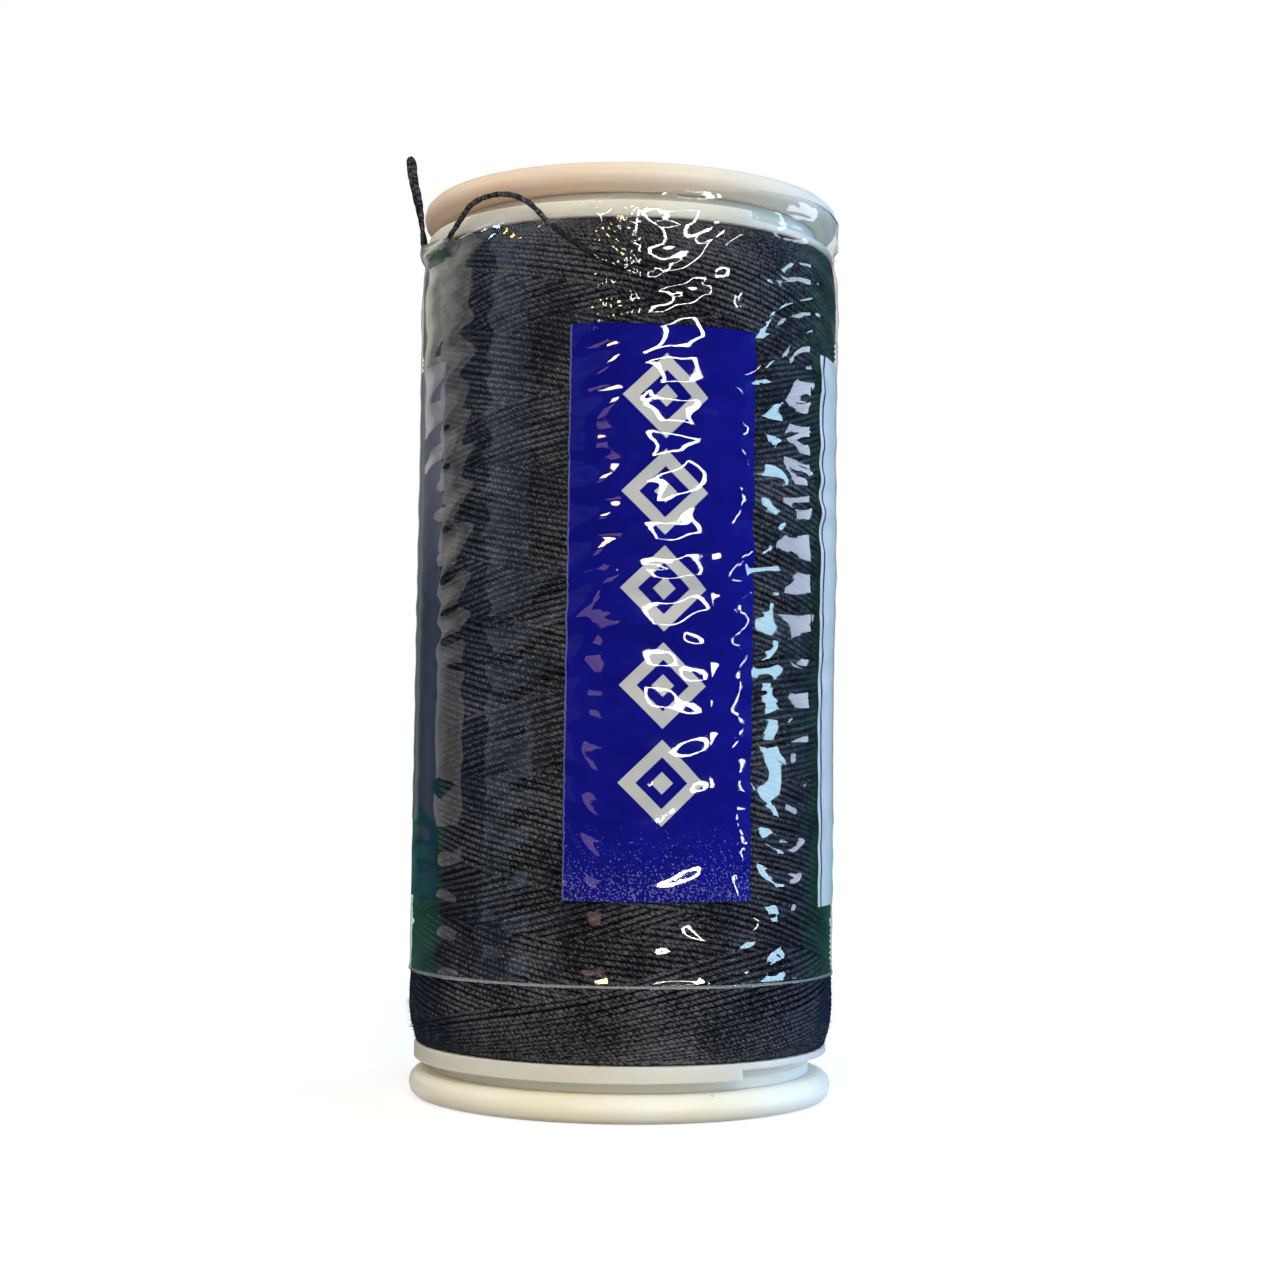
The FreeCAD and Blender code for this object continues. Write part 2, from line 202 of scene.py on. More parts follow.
class Nodes:
    """The nodes of a material or a world, each made and joined in one call."""

    def __init__(self, name, owners=bpy.data.materials):
        self.owner = owners.new(name)
        self.owner.use_nodes = True
        self.tree = self.owner.node_tree
        self.tree.nodes.clear()

    def add(self, kind, inputs=None, **settings):
        node = self.tree.nodes.new("ShaderNode" + kind)
        for name, value in settings.items():
            setattr(node, name, value)
        for name, value in (inputs or {}).items():
            socket = node.inputs[name]
            if isinstance(value, bpy.types.NodeSocket):
                self.tree.links.new(value, socket)
            else:
                socket.default_value = (*value, 1.0) if socket.type == "RGBA" else value
        return node

    def math(self, operation, *values):
        return self.add("Math", dict(enumerate(values)), operation=operation).outputs[0]

    def product(self, *values):
        """All the values multiplied."""
        result = values[0]
        for value in values[1:]:
            result = self.math("MULTIPLY", result, value)
        return result

    def noise(self, place, scale, detail=2.0, roughness=0.5):
        return self.add("TexNoise", {"Vector": place, "Scale": scale, "Detail": detail,
                                     "Roughness": roughness}).outputs["Fac"]

    def spread(self, value, low, high, to_low=0.0, to_high=1.0):
        """The value from low to high, as to_low to to_high."""
        return self.add("MapRange", {"Value": value, "From Min": low, "From Max": high,
                                     "To Min": to_low, "To Max": to_high}).outputs[0]

    def inside(self, value, low, high):
        """1 between low and high, and 0 outside."""
        return self.product(self.math("GREATER_THAN", value, low),
                            self.math("LESS_THAN", value, high))

    def between(self, value, low, high, soft):
        """1 between low and high, falling to 0 over a soft margin outside."""
        return self.product(self.spread(value, low - soft, low),
                            self.spread(value, high, high + soft, 1.0, 0.0))

    def blend(self, share, first, second):
        """The first colour, turning into the second as share goes from 0 to 1."""
        return self.add("Mix", {0: share, 6: first, 7: second}, data_type="RGBA").outputs[2]

    def bump(self, height, distance):
        return self.add("Bump", {"Height": height, "Distance": distance}).outputs[0]

    def stretched(self, place, scale):
        return self.add("Mapping", {"Vector": place, "Scale": scale}).outputs[0]

    def place(self):
        return self.add("TexCoord").outputs["Object"]

    def parts(self, vector):
        return self.add("SeparateXYZ", {"Vector": vector}).outputs

    def seen(self):
        """1 for what the camera sees, straight or in a reflection, and 0 for light."""
        paths = self.add("LightPath").outputs
        return self.math("MAXIMUM", paths["Is Camera Ray"], self.math(
            "MAXIMUM", paths["Is Glossy Ray"], paths["Is Transmission Ray"]))

    def mixed(self, share, first, second):
        return self.add("MixShader", {0: share, 1: first.outputs[0], 2: second.outputs[0]})

    def done(self, surface, kind="OutputMaterial"):
        self.add(kind, {"Surface": surface.outputs[0]})
        return self.owner


def grey(level):
    return (level, level, level)


# Materials of the plastic and the thread

CREAM = (0.88, 0.84, 0.735)
CREAM_SHADE = (0.84, 0.78, 0.63)
PEACH = (0.79, 0.66, 0.55)
PEACH_SHADE = (0.77, 0.60, 0.46)
# Painted light: the top rim's colour towards the right, paler and cooler where light from the
# right falls, and how far along X it changes
PEACH_PAINTED_RIGHT_LIGHT = (0.72, 0.69, 0.61)
PAINTED_RIGHT_LIGHT_REACH = (-7.0 * MM, 7.0 * MM)
FLANGE = (0.75, 0.725, 0.65)
FLANGE_SHADE = (0.71, 0.67, 0.57)
# Painted light: the barrel paler and warmer in the gaps beyond the flanges, standing for light
# through the rims, and how far from the middle this starts
GAP_PAINTED_LIGHT = (0.985, 0.90, 0.72)
GAP_PAINTED_LIGHT_REACH = (22.36 * MM, 22.42 * MM)
SPECK = (0.10, 0.07, 0.045)
SPECK_SCALE, SPECK_SIZE, SPECK_STRENGTH = 620.0, 0.055, 0.75
SPECKLESS_SHARE = 0.80
PLASTIC_ROUGHNESS = (0.31, 0.47)
PLASTIC_SCATTER, PLASTIC_DEPTH = (1.0, 0.72, 0.42), 0.0016
PLASTIC_GRAIN = 0.00001
EDGE_SOFTNESS = {"bottom_end_cap": 0.16, "top_end_cap": 0.16, "spool_barrel": 0.09}

CHARCOAL = (0.0085, 0.0090, 0.0115)
# Light flecks of the thread: partly the fibres' own paler tone, partly painted fibre highlights
CHARCOAL_FLECK_AND_HIGHLIGHT = (0.158, 0.157, 0.170)
# Painted shade and sheen: the thread's colour where it is seen at a slant, darker and bluer
PAINTED_SLANT_SHADE_AND_SHEEN = (0.003, 0.009, 0.026)
# Painted shade: a darker copy of the thread's colours, for the last turn in the shadow under the
# film
LAST_TURN_PAINTED_SHADE = (0.003, 0.003, 0.004)
LAST_TURN_PAINTED_SHADE_LIGHT = (0.040, 0.040, 0.044)
FIBRE_DARK = (0.004, 0.005, 0.007)
FIBRE_LIGHT = (0.10, 0.10, 0.11)
TWIST_PLIES, TWIST_PITCH = 3.0, 0.27 * MM
THREAD_RELIEF = 0.00006


def moulded_plastic(name, base, shade, painted_right_light=None, glow=None):
    """Satin, faintly translucent plastic with slow colour drift, dark specks and a fine grain.
    The argument after shade is a painted light: its colour towards the right, paler and cooler
    where light from the right falls. glow is a painted light: a paler colour in the gaps beyond
    the flanges, standing for the light that comes through the rims."""
    nodes = Nodes(name)
    place = nodes.place()
    drift = nodes.spread(nodes.noise(place, 170.0, 3.0), 0.35, 0.68)
    colour = nodes.blend(drift, shade, base)
    split = nodes.parts(place)
    # Painted light: paler and cooler towards the right, where light from the right falls
    if painted_right_light:
        colour = nodes.blend(nodes.spread(split[0], *PAINTED_RIGHT_LIGHT_REACH), colour, painted_right_light)
    # Painted light in the gaps beyond the flanges, where light comes through the rims
    if glow:
        away = nodes.math("ABSOLUTE", nodes.math("SUBTRACT", split[2], WINDING_MIDDLE))
        colour = nodes.blend(nodes.spread(away, *GAP_PAINTED_LIGHT_REACH), colour, glow)
    spots = nodes.add("TexVoronoi", {"Vector": place, "Scale": SPECK_SCALE})
    near = nodes.math("LESS_THAN", spots.outputs["Distance"], SPECK_SIZE)
    draw = nodes.add("SeparateColor", {"Color": spots.outputs["Color"]}).outputs[0]
    speck = nodes.product(near, nodes.math("GREATER_THAN", draw, SPECKLESS_SHARE))
    colour = nodes.blend(nodes.product(speck, SPECK_STRENGTH), colour, SPECK)
    grain = nodes.noise(place, 3200.0, 3.0)
    rough = nodes.spread(nodes.noise(place, 900.0, 3.0), 0.3, 0.7, *PLASTIC_ROUGHNESS)
    return nodes.done(nodes.add("BsdfPrincipled", {
        "Base Color": colour, "Roughness": rough, "IOR": 1.5, "Subsurface Weight": 0.85,
        "Subsurface Radius": PLASTIC_SCATTER, "Subsurface Scale": PLASTIC_DEPTH,
        "Normal": nodes.bump(grain, PLASTIC_GRAIN)}))


def spun_thread(name, dark, light, slant):
    """Matt spun thread. The UV map "strand" runs along it in metres and round it from 0 to 1.
    slant is a painted shade and sheen: its colour where it is seen at a slant, darker and
    bluer, standing for less light on the edges and blue light reflected there."""
    nodes = Nodes(name)
    strand = nodes.add("UVMap", uv_map="strand").outputs[0]
    along, round_it = nodes.parts(strand)[:2]
    turn = nodes.math("MULTIPLY_ADD", round_it, TWIST_PLIES,
                      nodes.math("DIVIDE", along, TWIST_PITCH))
    ply = nodes.math("SINE", nodes.product(turn, 2 * math.pi))
    fleck = nodes.noise(nodes.stretched(strand, (4300.0, 1.6, 1.0)), 1.0, 3.0, 0.72)
    height = nodes.math("MULTIPLY_ADD", fleck, 1.1, nodes.product(ply, 0.18))
    patch = nodes.spread(nodes.noise(nodes.place(), 260.0, 3.0), 0.35, 0.65, -0.07, 0.07)
    share = nodes.math("ADD", nodes.math("MULTIPLY_ADD", ply, 0.05, fleck), patch)
    # The light flecks are partly the fibres' own paler tone and partly painted fibre highlights
    colour = nodes.blend(nodes.spread(share, 0.42, 0.72), dark, light)
    # Painted shade and sheen: darker and bluer where the strand is seen at a slant
    facing = nodes.add("LayerWeight", {"Blend": 0.5}).outputs["Facing"]
    colour = nodes.blend(nodes.spread(facing, 0.27, 0.80), colour, slant)
    return nodes.done(nodes.add("BsdfPrincipled", {
        "Base Color": colour, "Roughness": nodes.spread(fleck, 0.3, 0.7, 0.62, 0.85),
        "Specular IOR Level": 0.05, "Normal": nodes.bump(height, THREAD_RELIEF)}))


def loose_fibre(name, dark, light):
    nodes = Nodes(name)
    share = nodes.spread(nodes.noise(nodes.place(), 700.0), 0.4, 0.68)
    colour = nodes.blend(share, dark, light)
    return nodes.done(nodes.add("BsdfPrincipled", {
        "Base Color": colour, "Roughness": 0.55, "Sheen Weight": 0.2}))


for node, colours in {"bottom_end_cap": (CREAM, CREAM_SHADE),
                      # The top cap's last colour is a painted light towards the right
                      "top_end_cap": (PEACH, PEACH_SHADE, PEACH_PAINTED_RIGHT_LIGHT),
                      # The barrel's last colour is a painted light in the gaps beyond the flanges
                      "spool_barrel": (FLANGE, FLANGE_SHADE, None, GAP_PAINTED_LIGHT)}.items():
    part = frame["nodes"][node]
    part.data.materials[0] = moulded_plastic(f"{node}_plastic", *colours)
    weld = part.modifiers.new("weld", "WELD")
    weld.merge_threshold = 0.001 * MM
    soften = part.modifiers.new("soften", "BEVEL")
    soften.width = EDGE_SOFTNESS[node] * MM
    soften.segments = 3
    soften.limit_method = "ANGLE"
    soften.angle_limit = math.radians(32)
    soften.use_clamp_overlap = True

thread_material = spun_thread("charcoal_thread", CHARCOAL, CHARCOAL_FLECK_AND_HIGHLIGHT, PAINTED_SLANT_SHADE_AND_SHEEN)
# Painted shade: a darker copy of the thread for the last turn
painted_shade_thread_material = spun_thread("painted_shade_thread", LAST_TURN_PAINTED_SHADE, LAST_TURN_PAINTED_SHADE_LIGHT, PAINTED_SLANT_SHADE_AND_SHEEN)
fibre_material = loose_fibre("charcoal_fibre", FIBRE_DARK, FIBRE_LIGHT)


# The wound thread: one unbroken strand, counted from its outer end. It climbs and sinks along
# the spool in six turns and a little, so that each pass lies beside the last. Where two
# passes cross, the one wound later is mostly on top.

STRAND_WIDTH = 0.275 * MM
STRAND_HEIGHT = 0.27 * MM
STRAND_SIDES = 5
STEPS_PER_TURN = 60
PASSES = 48
PASS_TURNS = 6 + 1 / PASSES
TURNS = PASSES * PASS_TURNS
START_TURN = 0.37
END_SHARPNESS = 0.985
TRAVERSE = (WINDING_HEAD - WINDING_FOOT) - STRAND_WIDTH
CROSSING_SHARPNESS = 15.0
CROSSING_WANDER, CROSSING_SIZE = 6.0, np.array([6, 6, 3.5]) * MM
CROSSING_DEPTH = 0.45
SINKING_FAVOUR = 4.0
NOISE_RADIUS = 11.4 * MM
LOOSENING = 9
OWN_SWAY, OWN_SWAYS_PER_TURN = 0.07, 2.3
BUNDLE_SWAY, BUNDLE_SIZE = 0.12, np.array([9, 9, 1.3]) * MM
SLOW_SWAY, SLOW_SIZE = 0.45, np.array([7, 7, 7]) * MM
UNEVENNESS = 0.02 * MM

MASS_BORE = 7.28 * MM
MASS_COLUMNS, MASS_ROWS = 180, 60
MASS_DEPTH = 1.9 * STRAND_HEIGHT
MASS_LUMPS = np.array([1, 1, 0.3]) * MM
MASS_MAP_ACROSS, MASS_MAP_UP = 0.4, 2.0

LAST_TURN_BEARING, LAST_TURN_RUN = -22.6, 32.0
LAST_TURN_HEIGHT, LAST_TURN_FALL, LAST_TURN_EASE = 45.85, 5.9, 2.6
LAST_TURN_SUNK, LAST_TURN_DIP = 0.02, 0.30

# Height and radius of the winding's outer surface
WINDING_PROFILE = np.array([
    (2.90, 11.18), (3.30, 11.29), (3.90, 11.46), (4.80, 11.57), (5.80, 11.57), (6.70, 11.52),
    (7.60, 11.49), (41.5, 11.49), (43.5, 11.50), (44.7, 11.43), (45.5, 11.30), (45.95, 11.18),
]) * MM


def winding_surface(height):
    return np.interp(height, WINDING_PROFILE[:, 0], WINDING_PROFILE[:, 1])


def laid_strand(name, centres, material, sides, turn=0.0):
    """A strand on the winding, along its centres, with its UV map."""
    way = unit(np.gradient(centres, axis=0))
    side = unit(np.cross(way, outward(centres)))
    points, faces = tube(centres, side, np.cross(side, way), STRAND_WIDTH / 2, STRAND_HEIGHT / 2,
                         sides, turn)
    piece = new_piece(name, points, faces, [material], "spool", "thread")
    length = distances(centres)
    ends = np.zeros((2 * sides, 2))
    ends[sides:, 0] = length[-1]
    write_map(piece, "strand", np.concatenate([wall_map(length, sides), ends]))
    return piece


def pass_difference(number, gap):
    """The difference of two pass numbers, as a share of all passes, from -1 to 1."""
    other = np.mod(number / PASSES - gap, 1.0)
    return number / PASSES - other


def wound_thread():
    turns = np.linspace(0, TURNS, int(TURNS * STEPS_PER_TURN))
    in_pass = turns % PASS_TURNS
    number = np.floor(turns / PASS_TURNS)
    wave = np.sin(2 * math.pi * in_pass / PASS_TURNS - math.pi / 2)
    rise = np.arcsin(END_SHARPNESS * wave) / math.asin(END_SHARPNESS)
    height = WINDING_MIDDLE + TRAVERSE / 2 * rise
    bearing = 2 * math.pi * (turns - START_TURN)
    plain = around(bearing, NOISE_RADIUS, height)

    # Strands wander, alone and in bundles, less so near the flanges
    loose = np.clip((1 - np.abs(rise)) * LOOSENING, 0, 1)
    height = height + loose * MM * (OWN_SWAY * wobble(turns * OWN_SWAYS_PER_TURN, 1, 3)
                                    + BUNDLE_SWAY * lumps(plain, BUNDLE_SIZE, 1)
                                    + SLOW_SWAY * lumps(plain, SLOW_SIZE, 2))

    # Which of two crossing passes is on top
    climbing = in_pass < PASS_TURNS / 2
    from_foot = np.where(climbing, in_pass, PASS_TURNS - in_pass)
    climb_gap = (number - (number - 1 + 2 * from_foot * PASSES)) / PASSES
    sink_gap = (number - (number + 1 - 2 * from_foot * PASSES)) / PASSES
    gap = np.where(climbing, climb_gap, sink_gap)
    earlier = np.sin(math.pi * pass_difference(number, gap))
    wander = CROSSING_WANDER * lumps(plain, CROSSING_SIZE, 4) + SINKING_FAVOUR
    sign = np.where(climbing, -1.0, 1.0)
    over = np.clip(sign * wander - CROSSING_SHARPNESS * earlier, -1, 1)

    radius = winding_surface(height) - STRAND_HEIGHT * (0.5 + CROSSING_DEPTH * (1 - over))
    uneven = np.stack([turns * 5, turns, 0 * turns], axis=-1)
    radius = radius + UNEVENNESS * lumps(uneven, (1, 1, 1), 5)
    return laid_strand("wound_thread", around(bearing, radius, height), thread_material,
                       sides=STRAND_SIDES, turn=math.pi / 2)


def thread_mass():
    """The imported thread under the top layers, as a closed ring of the winding's shape."""
    height = np.linspace(WINDING_FOOT, WINDING_HEAD, MASS_ROWS)
    radius = np.concatenate([[MASS_BORE], winding_surface(height) - MASS_DEPTH, [MASS_BORE]])
    height = np.concatenate([[WINDING_FOOT], height, [WINDING_HEAD]])
    bearing = np.linspace(0, 2 * math.pi, MASS_COLUMNS, endpoint=False)
    points = around(bearing, radius[:, None], height[:, None])
    points = points + UNEVENNESS * lumps(points, MASS_LUMPS)[..., None] * outward(points)
    faces = grid_faces(len(height), MASS_COLUMNS, closed_rows=True, closed_columns=True).tolist()
    piece = new_piece("thread_mass", points, faces, [thread_material], "spool", "thread")
    row, column = quad_corners(len(height), MASS_COLUMNS)
    values = np.stack([column * MASS_MAP_ACROSS * MM, row * MASS_MAP_UP], axis=-1)
    write_map(piece, "strand", values)
    return piece


def last_turn_height(share):
    """Its height in millimetres, for a share from 0 to 1 of its run from the upper flange."""
    return LAST_TURN_HEIGHT - LAST_TURN_FALL * share + LAST_TURN_EASE * share ** 2


def last_turn():
    """The end of the outermost turn, which crosses the others on its way to the upper flange."""
    share = np.linspace(0, 1, 60)
    height = last_turn_height(share) * MM
    bearing = np.radians(LAST_TURN_BEARING + LAST_TURN_RUN * share)
    ends = hill(share, 0.85, 2, 0.3) + hill(share, -1, 0, 0.06)
    sunk = LAST_TURN_SUNK + LAST_TURN_DIP * ends
    centres = around(bearing, winding_surface(height) - sunk * MM, height)
    # Its material is painted shade: a darker copy of the thread, for the shadow under the film
    laid_strand("last_turn", centres, painted_shade_thread_material, sides=8)


strand_piece = wound_thread()
mass_piece = thread_mass()
last_turn()
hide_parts("thread_outer_turns")
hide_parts("thread_core")


# The free end of the thread: two plies twisted round the line of its route

TAIL_ROUTE = [
    (-0.00347, -0.01008, 0.04500), (-0.00440, -0.01070, 0.04580), (-0.00530, -0.01078, 0.04672),
    (-0.00635, -0.01022, 0.04724), (-0.00758, -0.00933, 0.04731), (-0.00845, -0.00842, 0.04705),
    (-0.00898, -0.00766, 0.04645), (-0.00945, -0.00685, 0.04598), (-0.00985, -0.00600, 0.04562),
    (-0.01040, -0.00490, 0.04550), (-0.01095, -0.00345, 0.04560), (-0.01135, -0.00180, 0.04600),
    (-0.01162, -0.00030, 0.04680), (-0.01177, 0.00090, 0.04800), (-0.01196, 0.00140, 0.04945),
    (-0.01226, 0.00150, 0.05090), (-0.01235, 0.00150, 0.05218), (-0.01278, 0.00150, 0.05219),
    (-0.01258, 0.00155, 0.05100), (-0.01216, 0.00185, 0.04960), (-0.01198, 0.00230, 0.04865),
    (-0.01178, 0.00300, 0.04760), (-0.01145, 0.00370, 0.04650), (-0.01121, 0.00425, 0.04500),
    (-0.01106, 0.00460, 0.04340), (-0.01096, 0.00485, 0.04200),
]
TAIL_DIAMETER = 0.3 * MM
TAIL_STEP = 0.07 * MM
PLY_COUNT = 2
PLY_LAY = 1.5 * MM
PLY_SIDES = 8
PLY_OFFSET, PLY_SWING, PLY_SWING_SIZE = 0.10, 0.15, 1.7 * MM
PLY_RADIUS, PLY_LUMPS, PLY_LUMP_SIZE = 0.40, 0.12, 0.8 * MM
PLY_TIP_RINGS, PLY_TIP = 6, 0.45
LOOP_FLUFF, FLUFF_HEIGHTS = 0.30, (50.2, 53, 1.8)
LOOP_CLOSING, CLOSING_HEIGHTS = 0.36, (50.9, 53, 1.2)
# Height and X of the middle of the loop
LOOP_MIDDLE = np.array([(49.70, -12.08), (51.00, -12.42), (52.10, -12.56)]) * MM


def route_line():
    """Points along the smooth curve whose control points are the route."""
    curve = bpy.data.curves.new("tail_route", "CURVE")
    curve.dimensions = "3D"
    curve.resolution_u = 14
    spline = curve.splines.new("NURBS")
    spline.points.add(len(TAIL_ROUTE) - 1)
    for point, place in zip(spline.points, TAIL_ROUTE):
        point.co = (*place, 1.0)
    spline.order_u = 3
    spline.use_endpoint_u = True
    holder = bpy.data.objects.new("tail_route", curve)
    line = bpy.data.meshes.new_from_object(holder)
    points = np.array([vertex.co for vertex in line.vertices], float)
    bpy.data.objects.remove(holder)
    return points


def evenly(points, step):
    """Points a step apart along a line, and how far along it each lies."""
    lengths = distances(points)
    keep = np.concatenate([[True], np.diff(lengths) > 1e-9])
    at = np.linspace(0, lengths[-1], int(lengths[-1] / step) + 1)
    return np.stack([np.interp(at, lengths[keep], points[keep, axis]) for axis in range(3)],
                    axis=1), at


def carried_frame(points):
    """Unit vectors across a line that turn no more than the line does."""
    way = unit(np.gradient(points, axis=0))
    side = np.cross(way[0], (0, 0, 1.0))
    sides = []
    for direction in way:
        side = side - direction * side.dot(direction)
        side = side / np.linalg.norm(side)
        sides.append(side)
    sides = np.array(sides)
    return sides, np.cross(way, sides)


def closed_loop(line):
    """The line with the two strands of its loop drawn together near the top."""
    middle = np.interp(line[:, 2], LOOP_MIDDLE[:, 0], LOOP_MIDDLE[:, 1])
    near = LOOP_CLOSING * hill(line[:, 2] / MM, *CLOSING_HEIGHTS)
    line = line.copy()
    line[:, 0] += near * (middle - line[:, 0])
    return line


def thread_end():
    line, at = evenly(closed_loop(route_line()), TAIL_STEP)
    side, up = carried_frame(line)
    plies, values = [], []
    for ply in range(PLY_COUNT):
        angle = 2 * math.pi * (at / PLY_LAY + ply / PLY_COUNT)
        away = TAIL_DIAMETER * PLY_OFFSET * (1 + PLY_SWING * wobble(at, PLY_SWING_SIZE, ply))
        centres = line + side * (np.cos(angle) * away)[:, None] + \
            up * (np.sin(angle) * away)[:, None]
        uneven = 1 + PLY_LUMPS * wobble(at, PLY_LUMP_SIZE, ply + 5)
        thick = TAIL_DIAMETER * PLY_RADIUS * uneven
        thick = thick * (1 + LOOP_FLUFF * hill(line[:, 2] / MM, *FLUFF_HEIGHTS))
        thick[-PLY_TIP_RINGS:] *= np.linspace(1, PLY_TIP, PLY_TIP_RINGS)
        ply_side, ply_up = carried_frame(centres)
        plies.append(tube(centres, ply_side, ply_up, thick, thick, PLY_SIDES))
        values += [wall_map(at, PLY_SIDES), np.zeros((2 * PLY_SIDES, 2))]
    piece = new_piece("thread_end", *joined(plies), [thread_material], "spool", "thread")
    write_map(piece, "strand", np.concatenate(values))
    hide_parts("thread_tail")
    return line


tail_line = thread_end()


# The clear film: a sleeve that is lapped at the back and torn at its upper edge, with ink on
# its inner side. Its heights, lengths and stand-off are in millimetres where MM isn't named.

FILM_RADIUS = 11.62 * MM
FILM_MOST = 12.15 * MM
FILM_CLEAR = 0.02 * MM
FILM_THICKNESS = 0.03 * MM
FILM_SOFTNESS = 0.02 * MM
FILM_COLUMNS = 262
FILM_ROWS = 176
CROWDING, CROWDED = 1.3, (-80, 80, 40)
BEAD_RADIUS = 0.035 * MM
CURL_HEIGHT, CURL_OUT = 0.35 * MM, 0.03 * MM

# The lap at the back, and the calm film under and over it
LAP_HALF = 12.0
LAP_STEP, LAP_REACH = 0.06 * MM, (168, 200, 8)
CALM_STANDOFF, CALM_REACH = 0.05 * MM, (166, 200, 10)

# Bearing and height of the film's upper edge, in degrees and millimetres
FILM_TOP = np.array([
    (-192, 47.75), (-160, 47.8), (-135, 47.6), (-110, 47.0), (-92, 46.75), (-78, 46.3),
    (-66, 45.95), (-58, 45.85), (-53, 45.65), (-46, 45.95), (-36, 46.15), (-30, 46.15),
    (-25, 45.75), (-20, 45.75), (-14, 46.4), (-8, 46.7), (2, 47.15),
    (18, 47.35), (34, 47.75), (50, 47.95), (80, 48.0), (120, 47.95), (160, 47.85), (192, 47.75),
])
TOP_NIBBLE, TOP_NIBBLE_SIZE = 0.10 * MM, np.array([1.2, 1.2, 1]) * MM
FOOT_WAVE, FOOT_WAVE_SIZE = 0.06 * MM, np.array([5, 5, 1]) * MM

# Above these heights the film lies on the upper flange and on the rim
FLANGE_FROM, RIM_FROM = 45.85, 46.6

# A flatter panel at the front, where the film was pressed
PANEL_BEARING = 12.5
PANEL_HALF = 2.6 * MM
PANEL_FALL = 3.0 * MM
PANEL_FLATNESS = 0.1

# How creased the film is: an amount with the first and last bearing or height, and a margin
BELOW_ALL, ABOVE_ALL = -5, 60
CREASED_LEAST = 0.3
CREASED_BEARINGS = [(0.7, -12, 64, 14), (0.4, 100, 150, 25), (0.4, -54, -30, 8)]
CALMER, CALMER_HEIGHTS = 0.4, (46.9, ABOVE_ALL, 1.2)
HEIGHTS_LEAST = 0.45
CREASED_HEIGHTS = [(0.55, 27, ABOVE_ALL, 8), (0.4, BELOW_ALL, 9.5, 2)]
CREASED_SPOTS = [(0.6, (30, 48, 6), (BELOW_ALL, 13, 2)), (0.3, (38, 60, 6), (39, 47, 2))]

# Waves of the film: height, then length across and up, slant in radians and seed
WARP, WARP_WAVES = 0.3, (9, 9, 1.5, 59)
CRINKLE, CRINKLE_WAVES = 0.055, (3.4, 2.3, 0.6, 9)
FINE_CRINKLE, FINE_WAVES = 0.022, (2.6, 1.6, 0.9, 39)
FINE_HEIGHTS = (41.5, ABOVE_ALL, 2)
SWELL, SWELL_WAVES = 0.025, (11, 14, 1.5, 29)
FOLD, FOLD_SHARPNESS, FOLD_SIZE = 0.03, 5, np.array([4.5, 4.5, 1.4]) * MM
STANDOFF_LEAST, STANDOFF_FRONT, FRONT_REACH = 0.03, 0.09, (-12, 54, 18)
RIDGE, RIDGE_ACROSS, RIDGE_ALONG = 0.12, (-0.12, 0.12, 0.5), (0, 0.85, 0.12)

# The torn corner that flares out, with the bearings and heights at which it starts
FLARE, FLARE_LOST, FLARE_SOFTNESS = 0.42, 0.24, 0.75
FLARE_REACH = (-97, -57, 5)
FLARE_START = ((-86, -72), (46.1, 45.4))


def film_edge_heights(bearing):
    loop = around(bearing, FILM_RADIUS, 0 * bearing)
    top = np.interp(np.degrees(bearing), FILM_TOP[:, 0], FILM_TOP[:, 1]) * MM
    top = top + TOP_NIBBLE * lumps(loop, TOP_NIBBLE_SIZE, 11)
    foot = film_low.z + FOOT_WAVE * lumps(loop, FOOT_WAVE_SIZE, 12)
    return foot, np.minimum(top, film_high.z)


def film_standoff(places, bearing, height):
    """How far the film stands off what it covers, in metres."""
    degrees, level = np.degrees(bearing), height / MM
    across = FILM_RADIUS / MM * bearing

    along = FILM_RADIUS * np.radians(degrees - PANEL_BEARING)
    reach = np.minimum(np.abs(along), PANEL_HALF)
    beyond = np.clip((np.abs(along) - PANEL_HALF) / PANEL_FALL, 0, 1)
    panel = PANEL_FLATNESS * reach ** 2 / (2 * FILM_RADIUS) * (1 - beyond ** 2 * (3 - 2 * beyond))

    lively = hills(CREASED_LEAST, degrees, CREASED_BEARINGS)
    lively = lively * (1 - CALMER * hill(level, *CALMER_HEIGHTS))
    lively = lively * hills(HEIGHTS_LEAST, level, CREASED_HEIGHTS)
    for amount, bearings, heights in CREASED_SPOTS:
        lively = lively + amount * hill(degrees, *bearings) * hill(level, *heights)
    warp = WARP * ripples(across, level, *WARP_WAVES)
    crinkle = CRINKLE * ripples(across, level + warp, *CRINKLE_WAVES)
    crinkle = crinkle + FINE_CRINKLE * hill(level, *FINE_HEIGHTS) * ripples(
        across, level + warp, *FINE_WAVES)
    swell = SWELL * ripples(across, level, *SWELL_WAVES)
    folds = np.abs(lumps(places, FOLD_SIZE, 22))
    folds = FOLD * (1 - np.minimum(folds * FOLD_SHARPNESS, 1))
    base = STANDOFF_LEAST + STANDOFF_FRONT * hill(degrees, *FRONT_REACH)

    # A ridge where the film lies over the last turn
    share = (degrees - LAST_TURN_BEARING) / LAST_TURN_RUN
    off = level - last_turn_height(np.clip(share, 0, 1))
    ridge = RIDGE * hill(off, *RIDGE_ACROSS) * hill(share, *RIDGE_ALONG)

    # The torn corner on the left stands out over the free end
    flare = FLARE - FLARE_LOST * hill(level, RIM_FROM, ABOVE_ALL, 0.3)
    start = np.interp(degrees, *FLARE_START)
    flare = flare * hill(level, start, ABOVE_ALL, FLARE_SOFTNESS) * hill(degrees, *FLARE_REACH)
    return panel + MM * (base + lively * (crinkle + folds) + swell + ridge + flare)


